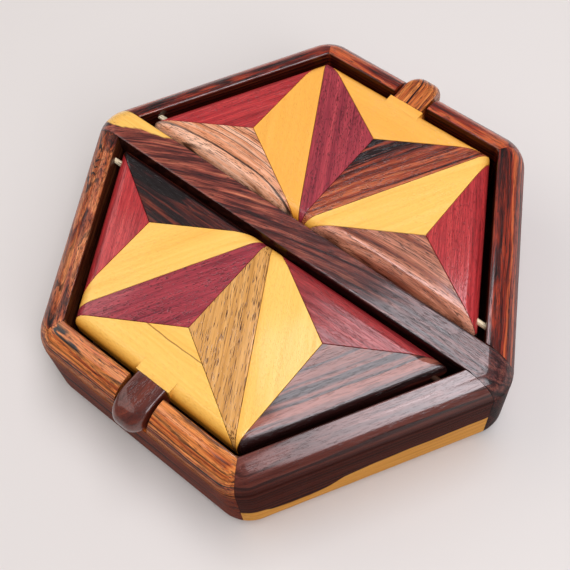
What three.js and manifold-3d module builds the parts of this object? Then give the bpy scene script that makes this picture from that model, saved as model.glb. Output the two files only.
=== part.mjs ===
// Hexagonal parquetry jewelry box with two swinging lids.
//
// Six mitred wall boards stand round a bar that runs right through two opposite corners and parts
// the box into two compartments. Each compartment has its own bottom panel, let into grooves, and
// its own lid. A lid is a half star: three triangles of solid wood, each made of three pieces that
// meet at its centre, with the top edge rounded over. It turns on two dowel pins set in the walls
// beside the bar, and a tongue glued to its outer edge lies in a notch of the wall, to lift it by.
//
// Millimetres. X runs along the bar, Y away across it, Z up. The origin is the middle of the base.

import * as THREE from 'three';
import { mergeVertices } from 'three/addons/utils/BufferGeometryUtils.js';
import Module from 'manifold-3d';

const wasm = await Module();
wasm.setup();

// Driving dimensions of the case
const innerSide = 76;
const barWidth = 11.5;
const wallThickness = 10.5;
const boxHeight = 41.5;
const topRound = 10;
const bottomRound = 6.4;
const cornerRound = 13;
const glueLine = 0.2;

// Bottom panels, let into grooves of the walls and of the bar
const panelThickness = 5;
const panelRecess = 3;
const grooveDepth = 3;
const grooveClearance = 0.3;

// Lids
const lidThickness = 9;
const lidWallGap = 2.4;
const lidBarGap = 1.2;
const lidRound = 5;
const lidCornerRound = 1.5;
const leastCornerRound = 0.05;

// Star pattern: its triangles are this much longer than the inner side, so that the lid is trimmed
// out of them, and the hub of each half star lies this far in from the bar's face and off its middle
const starAllowance = 0.5;
const nearHubInset = 1.85;
const nearHubShift = 3.2;
const farHubInset = 0.75;
const farHubShift = -0.3;

// Hinge pins: their axis lies this far from the bar's face and below the top
const pinDiameter = 2;
const pinSetback = 6.7;
const pinDepth = 4.2;
const pinInWall = 6;
const pinInLid = 9;
const pinClearance = 0.08;
const pinEndRoom = 0.5;

// A lid opens to just past upright; its tips are cut back underneath to pass the walls
const openAngle = 97;
const tipClearance = 0.6;
const tipReliefCuts = 4;

// Finger tongues and the notches that they lie in; a tongue's top slopes down over this much of it
const tongueWidth = 12.2;
const tongueThickness = 8.5;
const tongueReach = 3.6;
const tongueSlope = 8;
const tongueUnderRound = 2.2;
const tongueEndRound = 4.4;
const tongueLand = 1;
const notchSideGap = 1.25;
const notchFloorGap = 0.3;

// How finely the round forms are faceted, and how close two corners are to count as one
const profileSteps = 6;
const cornerSteps = 6;
const pinSides = 16;
const weldDistance = 1e-5;

// Cutting bodies reach past what they cut: by a little, and by more than the whole box
const cutMargin = 1;
const beyond = 4 * innerSide;

const sin60 = Math.sqrt(3) / 2;
const cos60 = 0.5;
const degrees = Math.PI / 180;
const halfBar = barWidth / 2;
const starSide = innerSide + starAllowance;
const flatDistance = halfBar + innerSide * sin60;
const slantDistance = innerSide * sin60 + halfBar * cos60;

// The inner faces of the case as half planes: angle of the outward normal and distance from the middle
const hexagonSides = [30, 90, 150, 210, 270, 330].map((angle) => ({
  angle,
  distance: angle % 180 === 90 ? flatDistance : slantDistance,
}));

// The far compartment, and the far lid, have three of those faces and the bar
function halfHexagonSides(barEdge) {
  return [
    ...hexagonSides.slice(0, 3),
    { angle: 270, distance: -barEdge },
  ];
}

function normalAt(angle) {
  return new THREE.Vector2(Math.cos(angle * degrees), Math.sin(angle * degrees));
}

// Point where two lines n.p = d cross
function crossing(n1, d1, n2, d2) {
  const det = n1.x * n2.y - n1.y * n2.x;
  return new THREE.Vector2((d1 * n2.y - d2 * n1.y) / det, (n1.x * d2 - n2.x * d1) / det);
}

// Outline of the half planes moved out by a distance, with its corners rounded
function roundedOutline(sides, outset, radius, steps) {
  const points = [];
  sides.forEach((side, i) => {
    const next = sides[(i + 1) % sides.length];
    const n1 = normalAt(side.angle);
    const n2 = normalAt(next.angle);
    const centre = crossing(n1, side.distance + outset - radius, n2, next.distance + outset - radius);
    if (radius <= 0) {
      points.push(centre);
      return;
    }
    const turn = (next.angle - side.angle + 360) % 360;
    for (let k = 0; k <= steps; k += 1) {
      const angle = (side.angle + (turn * k) / steps) * degrees;
      points.push(new THREE.Vector2(
        centre.x + radius * Math.cos(angle),
        centre.y + radius * Math.sin(angle),
      ));
    }
  });
  return points;
}

// A convex outline, anticlockwise, with every edge moved inwards
function insetPolygon(points, inset) {
  const lines = points.map((p, i) => {
    const q = points[(i + 1) % points.length];
    const normal = new THREE.Vector2(q.y - p.y, p.x - q.x).normalize();
    return { normal, distance: normal.dot(p) - inset };
  });
  return lines.map((line, i) => {
    const last = lines[(i + lines.length - 1) % lines.length];
    return crossing(last.normal, last.distance, line.normal, line.distance);
  });
}

function toSolid(geometry) {
  const bare = geometry.clone();
  bare.deleteAttribute('normal');
  bare.deleteAttribute('uv');
  const merged = mergeVertices(bare, weldDistance);
  return new wasm.Manifold(new wasm.Mesh({
    numProp: 3,
    vertProperties: new Float32Array(merged.attributes.position.array),
    triVerts: new Uint32Array(merged.index.array),
  }));
}

function toGeometry(solid) {
  const mesh = solid.getMesh();
  const geometry = new THREE.BufferGeometry();
  geometry.setAttribute('position', new THREE.BufferAttribute(new Float32Array(mesh.vertProperties), 3));
  geometry.setIndex(new THREE.BufferAttribute(new Uint32Array(mesh.triVerts), 1));
  geometry.computeVertexNormals();
  return geometry;
}

function prism(points, bottom, top) {
  const geometry = new THREE.ExtrudeGeometry(new THREE.Shape(points), {
    depth: top - bottom,
    bevelEnabled: false,
  });
  return toSolid(geometry.translate(0, 0, bottom));
}

function block(x0, x1, y0, y1, z0, z1) {
  const geometry = new THREE.BoxGeometry(x1 - x0, y1 - y0, z1 - z0);
  return toSolid(geometry.translate((x0 + x1) / 2, (y0 + y1) / 2, (z0 + z1) / 2));
}

// Closed solid through a stack of convex outlines that have as many points each
function stack(levels) {
  const count = levels[0].outline.length;
  const positions = levels.flatMap((level) => level.outline.flatMap((p) => [p.x, p.y, level.z]));
  const index = [];
  for (let k = 0; k + 1 < levels.length; k += 1) {
    for (let i = 0; i < count; i += 1) {
      const a = k * count + i;
      const b = k * count + ((i + 1) % count);
      index.push(a, b, b + count, a, b + count, a + count);
    }
  }
  const topLevel = (levels.length - 1) * count;
  for (let i = 1; i + 1 < count; i += 1) {
    index.push(0, i + 1, i);
    index.push(topLevel, topLevel + i, topLevel + i + 1);
  }
  const geometry = new THREE.BufferGeometry();
  geometry.setAttribute('position', new THREE.Float32BufferAttribute(positions, 3));
  geometry.setIndex(index);
  return toSolid(geometry);
}

// A quarter round as steps of inset and drop, from the full outline to the full inset
function quarterRound(radius) {
  return Array.from({ length: profileSteps + 1 }, (unused, k) => {
    const angle = (k / profileSteps) * 90 * degrees;
    return { inset: radius * (1 - Math.cos(angle)), drop: radius * (1 - Math.sin(angle)) };
  });
}

// The case as one rounded block: outline rounded in plan, bottom and top edges rounded over
function caseBlock() {
  const level = (inset, z) => ({
    z,
    outline: roundedOutline(hexagonSides, wallThickness - inset, cornerRound - inset, cornerSteps),
  });
  const bottom = quarterRound(bottomRound).reverse();
  return stack([
    ...bottom.map(({ inset, drop }) => level(inset, drop)),
    ...quarterRound(topRound).map(({ inset, drop }) => level(inset, boxHeight - drop)),
  ]);
}

// Outline of a bottom panel: the compartment and what lies in the grooves
function panelOutline(clearance) {
  return roundedOutline(halfHexagonSides(halfBar), grooveDepth + clearance, 0, 0);
}

const halfTurn = new THREE.Vector2(0, 0);

// The near side of the box is the far side turned half round
function turned(points, near) {
  return near ? points.map((p) => p.clone().rotateAround(halfTurn, Math.PI)) : points;
}

const panelTop = panelRecess + panelThickness;
const bothPanelSeats = [false, true].map((near) => prism(
  turned(panelOutline(grooveClearance), near),
  panelRecess - grooveClearance,
  panelTop + grooveClearance,
));

// Hinge axis of the far lid, and the pins and their holes on it
const hingeY = halfBar + pinSetback;
const hingeZ = boxHeight - pinDepth;
const wallAtHinge = (slantDistance - hingeY * cos60) / sin60;
const lidEndAtHinge = wallAtHinge - lidWallGap / sin60;
const pinOuterEnd = wallAtHinge + pinInWall;
const pinInnerEnd = lidEndAtHinge - pinInLid;
const holeRadius = (pinDiameter / 2 + pinClearance) / Math.cos(Math.PI / pinSides);

// A round bar along X between two values of x, its axis at the hinge
function hingeRound(radius, from, to, y, z) {
  const geometry = new THREE.CylinderGeometry(radius, radius, Math.abs(to - from), pinSides);
  geometry.rotateZ(Math.PI / 2);
  return toSolid(geometry.translate((from + to) / 2, y, z));
}

// The holes of both pins of one lid, in the wall and in the lid alike
function pinHoles(y, z) {
  return [-1, 1].map((end) => hingeRound(
    holeRadius,
    end * (pinInnerEnd - pinEndRoom),
    end * (pinOuterEnd + pinEndRoom),
    y,
    z,
  ));
}

// The six wall boards, named in the order of their faces
const wallNames = ['right_far', 'far', 'left_far', 'left_near', 'near', 'right_near'];
const notchHalf = tongueWidth / 2 + notchSideGap;
const notchFloor = boxHeight - tongueThickness - notchFloorGap;

// Plan of one board's share of the case, between its mitres or the bar's faces
function wallSector(i) {
  const side = hexagonSides[i];
  const before = hexagonSides[(i + 5) % 6];
  const after = hexagonSides[(i + 1) % 6];
  const normal = normalAt(side.angle);
  const corners = [before, after].map((other) => (
    crossing(normal, side.distance, normalAt(other.angle), other.distance)
  ));
  const along = new THREE.Vector2(-normal.y, normal.x);
  const points = [];
  corners.forEach((corner, k) => {
    const towards = k === 0 ? -1 : 1;
    const besideBar = Math.abs(corner.y) < halfBar;
    const mitre = normal.clone().multiplyScalar(sin60).addScaledVector(along, towards * cos60);
    const start = besideBar
      ? new THREE.Vector2(corner.x, Math.sign(normal.y) * (halfBar + glueLine / 2))
      : corner;
    const outward = besideBar ? new THREE.Vector2(Math.sign(corner.x), 0) : mitre;
    const inner = start.clone().addScaledVector(outward, -wallThickness);
    const outer = start.clone().addScaledVector(outward, cornerRound + wallThickness);
    points.push(...(k === 0 ? [inner, outer] : [outer, inner]));
  });
  return insetPolygon(points, glueLine / 2);
}

// The ring of walls, with the seats of the panels, the pins' holes and the notches cut out of it
function wallSolids(rounded) {
  const cavity = prism(roundedOutline(hexagonSides, 0, 0, 0), -cutMargin, boxHeight + cutMargin);
  let ring = rounded.subtract(cavity);
  bothPanelSeats.forEach((seat) => {
    ring = ring.subtract(seat);
  });
  [1, -1].forEach((side) => {
    pinHoles(side * hingeY, hingeZ).forEach((hole) => {
      ring = ring.subtract(hole);
    });
  });
  ring = ring.subtract(block(
    -notchHalf,
    notchHalf,
    -beyond,
    beyond,
    notchFloor,
    boxHeight + cutMargin,
  ));
  return wallNames.map((name, i) => ({
    name: `${name}_wall`,
    solid: ring.intersect(prism(wallSector(i), -cutMargin, boxHeight + cutMargin)),
  }));
}

function barSolid(rounded) {
  let bar = rounded.intersect(block(-beyond, beyond, -halfBar, halfBar, 0, boxHeight));
  bothPanelSeats.forEach((seat) => {
    bar = bar.subtract(seat);
  });
  return bar;
}

// A lid in its own frame: X along the hinge axis, Y towards the tongue, Z up
const lidTop = pinDepth;
const lidBottom = pinDepth - lidThickness;
const lidSides = halfHexagonSides(halfBar + lidBarGap).map(({ angle, distance }) => ({
  angle,
  distance: distance - (angle === 270 ? 0 : lidWallGap) - hingeY * Math.sin(angle * degrees),
}));
const lidEdge = flatDistance - lidWallGap - hingeY;

// What the walls beside the bar would cut from a lid's tips as it opens, at one angle of opening
function wallInLid(end, opening) {
  const wallNormal = new THREE.Vector3(end * sin60, cos60, 0);
  const normal = wallNormal.clone().applyAxisAngle(new THREE.Vector3(1, 0, 0), -opening * degrees);
  const distance = slantDistance - hingeY * cos60 - tipClearance;
  const geometry = new THREE.BoxGeometry(beyond, beyond, beyond);
  geometry.translate(0, 0, beyond / 2 + distance);
  const turn = new THREE.Quaternion().setFromUnitVectors(new THREE.Vector3(0, 0, 1), normal);
  return toSolid(geometry.applyQuaternion(turn));
}

// The whole lid before it is parted: rounded over except at the land before the tongue, drilled for
// the pins, and relieved at its tips
function lidBlank() {
  const level = (inset, z) => ({
    z,
    outline: roundedOutline(
      lidSides,
      -inset,
      Math.max(lidCornerRound - inset, leastCornerRound),
      cornerSteps,
    ),
  });
  const rounded = stack([
    level(0, lidBottom),
    ...quarterRound(lidRound).map(({ inset, drop }) => level(inset, lidTop - drop)),
  ]);
  const square = stack([level(0, lidBottom), level(0, lidTop)]);
  const landHalf = tongueWidth / 2 + tongueLand;
  const land = block(-landHalf, landHalf, 0, beyond, lidBottom, lidTop);
  let blank = rounded.add(square.intersect(land));
  pinHoles(0, 0).forEach((hole) => {
    blank = blank.subtract(hole);
  });
  [-1, 1].forEach((end) => {
    for (let k = 1; k <= tipReliefCuts; k += 1) {
      blank = blank.subtract(wallInLid(end, (openAngle * k) / tipReliefCuts));
    }
  });
  return blank;
}

// Outlines of the nine pieces of a half star, from left to right as seen from the hinge
function starPieces(inset, shift) {
  const hub = new THREE.Vector2(shift, halfBar - inset - hingeY);
  const corners = [180, 120, 60, 0].map((angle) => (
    hub.clone().addScaledVector(normalAt(angle), starSide)
  ));
  const margin = innerSide / 2;
  const grown = (corner) => (
    corner.clone().addScaledVector(corner.clone().sub(hub).normalize(), margin)
  );
  const towardsBar = (point) => point.clone().add(new THREE.Vector2(0, -margin));
  const outlines = {};
  ['left', 'middle', 'right'].forEach((place, i) => {
    const a = corners[i];
    const b = corners[i + 1];
    const meet = hub.clone().add(a).add(b).divideScalar(3);
    outlines[`${place}_outer`] = [meet, b, grown(b), grown(a), a];
    const rayOfA = [meet, a, hub];
    const rayOfB = [meet, hub, b];
    if (place === 'left') {
      outlines.left_inner = [meet, a, towardsBar(a), towardsBar(hub), hub];
      outlines.left_ray = rayOfB;
    } else if (place === 'middle') {
      outlines.middle_left_ray = rayOfA;
      outlines.middle_right_ray = rayOfB;
    } else {
      outlines.right_ray = rayOfA;
      outlines.right_inner = [meet, hub, towardsBar(hub), towardsBar(b), b];
    }
  });
  return outlines;
}

// The tongue: rounded at its end in plan, its top curving down over the end
function tongueSolid() {
  const start = lidEdge + glueLine;
  const end = flatDistance + wallThickness + tongueReach - hingeY;
  const half = tongueWidth / 2;
  const under = lidTop - tongueThickness;
  const nose = under + tongueUnderRound;
  const plan = new THREE.Shape();
  plan.moveTo(-half, start);
  plan.lineTo(half, start);
  plan.lineTo(half, end - tongueEndRound);
  plan.absarc(half - tongueEndRound, end - tongueEndRound, tongueEndRound, 0, Math.PI / 2);
  plan.absarc(-half + tongueEndRound, end - tongueEndRound, tongueEndRound, Math.PI / 2, Math.PI);
  plan.closePath();
  const side = new THREE.Shape();
  side.moveTo(start - cutMargin, under);
  side.lineTo(end - tongueUnderRound, under);
  side.absarc(end - tongueUnderRound, nose, tongueUnderRound, -Math.PI / 2, 0);
  side.absellipse(end - tongueSlope, nose, tongueSlope, lidTop - nose, 0, Math.PI / 2);
  side.lineTo(start - cutMargin, lidTop);
  side.closePath();
  const flat = new THREE.ExtrudeGeometry(plan, {
    depth: 2 * lidThickness,
    bevelEnabled: false,
    curveSegments: profileSteps,
  });
  flat.translate(0, 0, -lidThickness);
  const upright = new THREE.ExtrudeGeometry(side, {
    depth: 2 * tongueWidth,
    bevelEnabled: false,
    curveSegments: profileSteps,
  });
  upright.translate(0, 0, -tongueWidth);
  upright.applyMatrix4(new THREE.Matrix4().makeBasis(
    new THREE.Vector3(0, 1, 0),
    new THREE.Vector3(0, 0, 1),
    new THREE.Vector3(1, 0, 0),
  ));
  return toSolid(flat).intersect(toSolid(upright));
}

// Woods, oiled and lacquered
const woods = {
  rosewood: { color: 0x5a2313, roughness: 0.28 },
  orangeRosewood: { color: 0x8a3f1e, roughness: 0.28 },
  darkRosewood: { color: 0x3a1a14, roughness: 0.26 },
  redHeart: { color: 0x8c1f24, roughness: 0.3 },
  purpleHeart: { color: 0x6e1c2a, roughness: 0.3 },
  yellowWood: { color: 0xe9a73c, roughness: 0.32 },
  tanWood: { color: 0xa8743a, roughness: 0.34 },
  paleDowel: { color: 0xd9c08e, roughness: 0.5 },
  panelWood: { color: 0x6b3a22, roughness: 0.45 },
};

function mesh(name, solid, wood) {
  const { color, roughness } = woods[wood];
  const material = new THREE.MeshStandardMaterial({ color, roughness, metalness: 0 });
  const piece = new THREE.Mesh(toGeometry(solid), material);
  piece.name = name;
  return piece;
}

function buildCase() {
  const group = new THREE.Group();
  const rounded = caseBlock();
  wallSolids(rounded).forEach(({ name, solid }) => {
    group.add(mesh(name, solid, name === 'near_wall' ? 'orangeRosewood' : 'rosewood'));
  });
  group.add(mesh('centre_bar', barSolid(rounded), 'rosewood'));
  [false, true].forEach((near) => {
    const side = near ? 'near' : 'far';
    const panel = prism(turned(panelOutline(0), near), panelRecess, panelTop);
    group.add(mesh(`${side}_bottom_panel`, panel, 'panelWood'));
    [-1, 1].forEach((end) => {
      const y = near ? -hingeY : hingeY;
      const pin = hingeRound(pinDiameter / 2, end * pinInnerEnd, end * pinOuterEnd, y, hingeZ);
      group.add(mesh(`${side}_${end < 0 ? 'left' : 'right'}_hinge_pin`, pin, 'paleDowel'));
    });
  });
  return group;
}

// The near lid is turned half round, so its left pieces lie on the right of the box
const lids = [
  {
    side: 'far',
    inset: farHubInset,
    shift: farHubShift,
    tongue: 'orangeRosewood',
    pieces: [
      ['left_outer', 'left_outer', 'redHeart'],
      ['left_inner', 'left_inner', 'orangeRosewood'],
      ['left_ray', 'left_ray', 'yellowWood'],
      ['middle_left_ray', 'middle_left_ray', 'purpleHeart'],
      ['middle_outer', 'middle_outer', 'yellowWood'],
      ['middle_right_ray', 'middle_right_ray', 'rosewood'],
      ['right_ray', 'right_ray', 'yellowWood'],
      ['right_outer', 'right_outer', 'redHeart'],
      ['right_inner', 'right_inner', 'orangeRosewood'],
    ],
  },
  {
    side: 'near',
    inset: nearHubInset,
    shift: nearHubShift,
    tongue: 'darkRosewood',
    pieces: [
      ['left_outer', 'right_outer', 'redHeart'],
      ['left_inner', 'right_inner', 'darkRosewood'],
      ['left_ray', 'right_ray', 'yellowWood'],
      ['middle_left_ray', 'middle_right_ray', 'purpleHeart'],
      ['middle_outer', 'middle_outer', 'yellowWood'],
      ['middle_right_ray', 'middle_left_ray', 'tanWood'],
      ['right_ray', 'left_ray', 'yellowWood'],
      ['right_outer', 'left_outer', 'darkRosewood'],
      ['right_inner', 'left_inner', 'redHeart'],
    ],
  },
];

function buildLid({ side, inset, shift, tongue, pieces }, blank) {
  const group = new THREE.Group();
  const outlines = starPieces(inset, shift);
  pieces.forEach(([name, place, wood]) => {
    const outline = insetPolygon(outlines[place], glueLine / 2);
    const piece = blank.intersect(prism(outline, lidBottom - cutMargin, lidTop + cutMargin));
    group.add(mesh(`${side}_${name}`, piece, wood));
  });
  group.add(mesh(`${side}_tongue`, tongueSolid(), tongue));
  group.position.set(0, side === 'near' ? -hingeY : hingeY, hingeZ);
  group.rotation.z = side === 'near' ? Math.PI : 0;
  return group;
}

const box = new THREE.Group();
box.add(buildCase());
const blank = lidBlank();
lids.forEach((lid) => box.add(buildLid(lid, blank)));

export default box;
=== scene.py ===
"""Finished look of a hexagonal parquetry jewelry box with two swinging half-star lids.

Every shape is worked out in millimetres in the frame of the model: X along the centre bar, Y
across it and away, Z up from the base. Each piece of wood carries an attribute named "grain" that
holds its own board coordinates (along the grain, across it, through it), which its wood material
reads.
"""

import logging
import math
from dataclasses import dataclass, field, replace
from enum import Enum
from typing import Iterable, Sequence, Union

import bmesh
import bpy
import numpy as np
from mathutils import Matrix, Quaternion, Vector

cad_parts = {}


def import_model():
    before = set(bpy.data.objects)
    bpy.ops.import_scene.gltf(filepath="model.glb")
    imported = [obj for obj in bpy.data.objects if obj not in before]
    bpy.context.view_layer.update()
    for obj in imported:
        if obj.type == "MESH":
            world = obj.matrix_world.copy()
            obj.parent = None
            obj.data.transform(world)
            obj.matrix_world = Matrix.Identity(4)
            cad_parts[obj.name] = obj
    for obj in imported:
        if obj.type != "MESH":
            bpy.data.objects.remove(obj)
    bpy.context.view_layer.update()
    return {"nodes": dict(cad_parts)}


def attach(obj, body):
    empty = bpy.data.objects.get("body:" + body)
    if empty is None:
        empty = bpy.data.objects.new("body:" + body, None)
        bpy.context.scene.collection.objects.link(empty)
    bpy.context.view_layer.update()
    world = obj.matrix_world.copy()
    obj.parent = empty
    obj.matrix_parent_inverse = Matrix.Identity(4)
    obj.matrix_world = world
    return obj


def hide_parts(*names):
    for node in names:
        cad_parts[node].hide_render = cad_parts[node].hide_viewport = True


log = logging.getLogger("jewelry_box")

MM = 0.001
GRAIN = "grain"
# Faces that meet at more than this angle keep a sharp edge between them
SHARP_ANGLE = math.radians(28)
# Corners closer than this, in metres, are one corner
WELD = 2e-6
SIN60 = math.sqrt(3) / 2

# Heights on the box, in millimetres: where hands have rubbed the film dull and where it is whole,
# and where the tint below the lids' flat top is full and where it ends
RUBBED_HEIGHTS = (33.0, 40.0)
EDGE_HEIGHTS = (38.0, 41.3)
# How little bare wood reflects under its film, and how deep the film's swell is in millimetres
WOOD_SPECULAR = 0.12
FILM_RELIEF = 0.03
# Share of the film's shine that is lost over an open pore and over a dark fibre
PORE_DULLS = 0.36
HAIR_DULLS = 0.9
# Painted shade on the faces beside the gaps, and its share in the colour there
GAP_SHADE = "#140605"
GAP_SHADE_SHARE = 0.8
# The thin brown line: its share in the colour, its half width at the core and with its soft
# edges, and how far it strays, all in millimetres
BROWN_STREAK = "#8a4a18"
BROWN_SHARE = 0.8
BROWN_HALF_WIDTHS = (0.08, 0.3)
BROWN_STRAY = 1.2
# Thin lines in the sapwood, and how far its edge strays in millimetres
SAPWOOD_LINE = "#7a4a1c"
SAPWOOD_STRAY = 1.6

# About how large the spots of the wood's patterns are, in millimetres: along the board, across it
# and through it
STRAY = (55.0, 9.0, 9.0)
LINE_FADE = (70.0, 4.0, 4.0)
FIBRES = (9.0, 0.28, 0.28)
PORE_ROWS = (30.0, 2.5, 2.5)
HAIRS = (18.0, 0.7, 0.7)
SWELL = (26.0, 7.0, 7.0)
SAP_RAGGED = (7.0, 1.2, 1.2)
SAP_FIGURE = (40.0, 1.1, 1.1)
SAP_LINES = (60.0, 0.5, 0.5)
BROWN_WAVE = (9.0, 9.0, 9.0)
# Short streaks are this wide, and this many dark lines lie between one crowding and the next
STREAK_WIDTH = 1.5
CROWDED_LINES = 6

Socket = bpy.types.NodeSocket
# What a node's input takes: another node's output, a number, or a vector or colour
Feed = Union[Socket, float, Sequence[float]]


# Sizes


@dataclass(frozen=True)
class CaseSizes:
    """Sizes of the case in millimetres."""

    inner_side: float = 76.0
    bar_width: float = 11.5
    wall: float = 10.5
    height: float = 41.5
    top_round: float = 10.0
    bottom_round: float = 6.4
    corner_round: float = 13.0
    joint_gap: float = 0.1
    arris: float = 0.5
    panel_bottom: float = 2.7
    panel_top: float = 8.3
    groove_depth: float = 3.3
    notch_half: float = 7.35
    notch_floor: float = 32.7

    @property
    def half_bar(self) -> float:
        """Half the bar's width."""
        return self.bar_width / 2

    @property
    def flat(self) -> float:
        """Distance of the near and far walls' inner faces from the middle."""
        return self.half_bar + self.inner_side * SIN60

    @property
    def slant(self) -> float:
        """Distance of the slanted walls' inner faces from the middle."""
        return self.inner_side * SIN60 + self.half_bar / 2

    def inner_face(self, angle: float) -> float:
        """Distance from the middle of the inner face of the wall that looks out at an angle."""
        return self.flat if angle % 180 == 90 else self.slant

    def round_inset(self, z: np.ndarray) -> np.ndarray:
        """How far the case's outside lies in from its full outline at a height.

        The upper edge is a quarter round and so is the lower one: inset = R - sqrt(R^2 - h^2), with
        h the height above the upper round's start or below the lower round's end.

        Args:
            z: Heights above the base.

        Returns:
            One inset for each height.
        """
        up = np.clip(z - (self.height - self.top_round), 0, self.top_round)
        down = np.clip(self.bottom_round - z, 0, self.bottom_round)
        return (
            self.top_round
            - np.sqrt(self.top_round**2 - up**2)
            + self.bottom_round
            - np.sqrt(self.bottom_round**2 - down**2)
        )


@dataclass(frozen=True)
class HingeSizes:
    """Where the dowel pins lie and how thick they are, in millimetres."""

    pin_diameter: float = 2.0
    hole_diameter: float = 2.2
    setback: float = 6.7
    depth: float = 4.2
    in_wall: float = 6.0
    in_lid: float = 9.0
    end_room: float = 0.5
    open_angle: float = 97.0
    tip_clearance: float = 0.6


@dataclass(frozen=True)
class LidSizes:
    """Sizes that both lids share, in millimetres.

    The upper edge stays square for land_half on either side of the tongue's middle, and the flat
    top face starts cap_inset inside its own edge.
    """

    thickness: float = 9.0
    wall_gap: float = 2.4
    bar_gap: float = 1.2
    edge_round: float = 5.0
    corner_round: float = 1.5
    star_side: float = 76.5
    seam: float = 0.07
    seam_chamfer: float = 0.1
    land_half: float = 7.1
    cap_inset: float = 0.4


# Meshes


def unit(angle: float | np.ndarray) -> np.ndarray:
    """Unit vectors in plan at angles in degrees, with the two parts on the last axis."""
    radians = np.radians(angle)
    return np.stack([np.cos(radians), np.sin(radians)], axis=-1)


def crossing(
    n1: np.ndarray, d1: float | np.ndarray, n2: np.ndarray, d2: float | np.ndarray
) -> np.ndarray:
    """Points where the lines n1.p = d1 and n2.p = d2 cross, one for each pair of distances."""
    det = n1[0] * n2[1] - n1[1] * n2[0]
    return np.stack([d1 * n2[1] - d2 * n1[1], n1[0] * d2 - n2[0] * d1], axis=-1) / det


@dataclass(frozen=True)
class Grain:
    """How a piece was sawn.

    Args:
        direction: Which way the fibres run.
        face: Which way the board's face looks.
        origin: Where its coordinates start, in millimetres.
        shift: Where that spot lies in the board, in millimetres.
    """

    direction: tuple[float, float, float] = (1.0, 0.0, 0.0)
    face: tuple[float, float, float] = (0.0, 0.0, 1.0)
    origin: tuple[float, float, float] = (0.0, 0.0, 0.0)
    shift: tuple[float, float, float] = (0.0, 0.0, 0.0)

    def coordinates(self, points: np.ndarray) -> np.ndarray:
        """Board coordinates of points: along the fibres, across the face, and out of the face.

        Each is the distance from the origin along one of three square axes, plus the shift.

        Args:
            points: Points in millimetres, as n x 3.

        Returns:
            Their board coordinates in millimetres, as n x 3.
        """
        along = np.array(self.direction) / np.linalg.norm(self.direction)
        out = np.array(self.face) - along * np.dot(self.face, along)
        out /= np.linalg.norm(out)
        axes = np.stack([along, np.cross(out, along), out])
        return (points - np.array(self.origin)) @ axes.T + np.array(self.shift)


@dataclass
class Solid:
    """A closed surface in millimetres: corner points and the faces between them."""

    points: np.ndarray
    faces: list[Sequence[int]]

    @classmethod
    def from_rings(cls, rings: np.ndarray) -> "Solid":
        """Closes a stack of loops with as many points each.

        Args:
            rings: Points as levels x loop x 3. The first and last loops become flat end faces.

        Returns:
            The solid.
        """
        levels, count = rings.shape[:2]
        level, place = np.meshgrid(np.arange(levels - 1), np.arange(count), indexing="ij")
        a = level * count + place
        b = level * count + (place + 1) % count
        quads = np.stack([a, b, b + count, a + count], axis=-1).reshape(-1, 4)
        ends = [list(range(count))[::-1], list(range((levels - 1) * count, levels * count))]
        return cls(rings.reshape(-1, 3), quads.tolist() + ends)

    def build(self, name: str, grain: Grain, bores: Iterable["Bore"] = ()) -> bpy.types.Object:
        """Makes the Blender object, welded, bored, smooth on its rounds and sharp on its arrises.

        Args:
            name: The object's name.
            grain: How the piece was sawn.
            bores: Holes to drill in it.

        Returns:
            The object, at the origin.
        """
        mesh = bpy.data.meshes.new(name)
        mesh.from_pydata((self.points * MM).tolist(), [], self.faces)
        shape = bmesh.new()
        shape.from_mesh(mesh)
        bmesh.ops.remove_doubles(shape, verts=shape.verts, dist=WELD)
        bmesh.ops.dissolve_degenerate(shape, edges=shape.edges, dist=WELD / 4)
        bmesh.ops.recalc_face_normals(shape, faces=shape.faces)
        shape.to_mesh(mesh)
        shape.free()
        piece = bpy.data.objects.new(name, mesh)
        bpy.context.scene.collection.objects.link(piece)
        for bore in bores:
            bore.cut(piece)
        piece.data.shade_smooth()
        piece.data.set_sharp_from_angle(angle=SHARP_ANGLE)
        set_grain(piece.data, grain)
        return piece


def set_grain(mesh: bpy.types.Mesh, grain: Grain) -> None:
    """Writes the board coordinates of a mesh into its grain attribute, in millimetres.

    Args:
        mesh: The finished mesh, in metres.
        grain: How the piece was sawn.
    """
    places = np.empty(len(mesh.vertices) * 3)
    mesh.vertices.foreach_get("co", places)
    values = grain.coordinates(places.reshape(-1, 3) / MM)
    attribute = mesh.attributes.new(GRAIN, "FLOAT_VECTOR", "POINT")
    attribute.data.foreach_set("vector", values.ravel())


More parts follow.
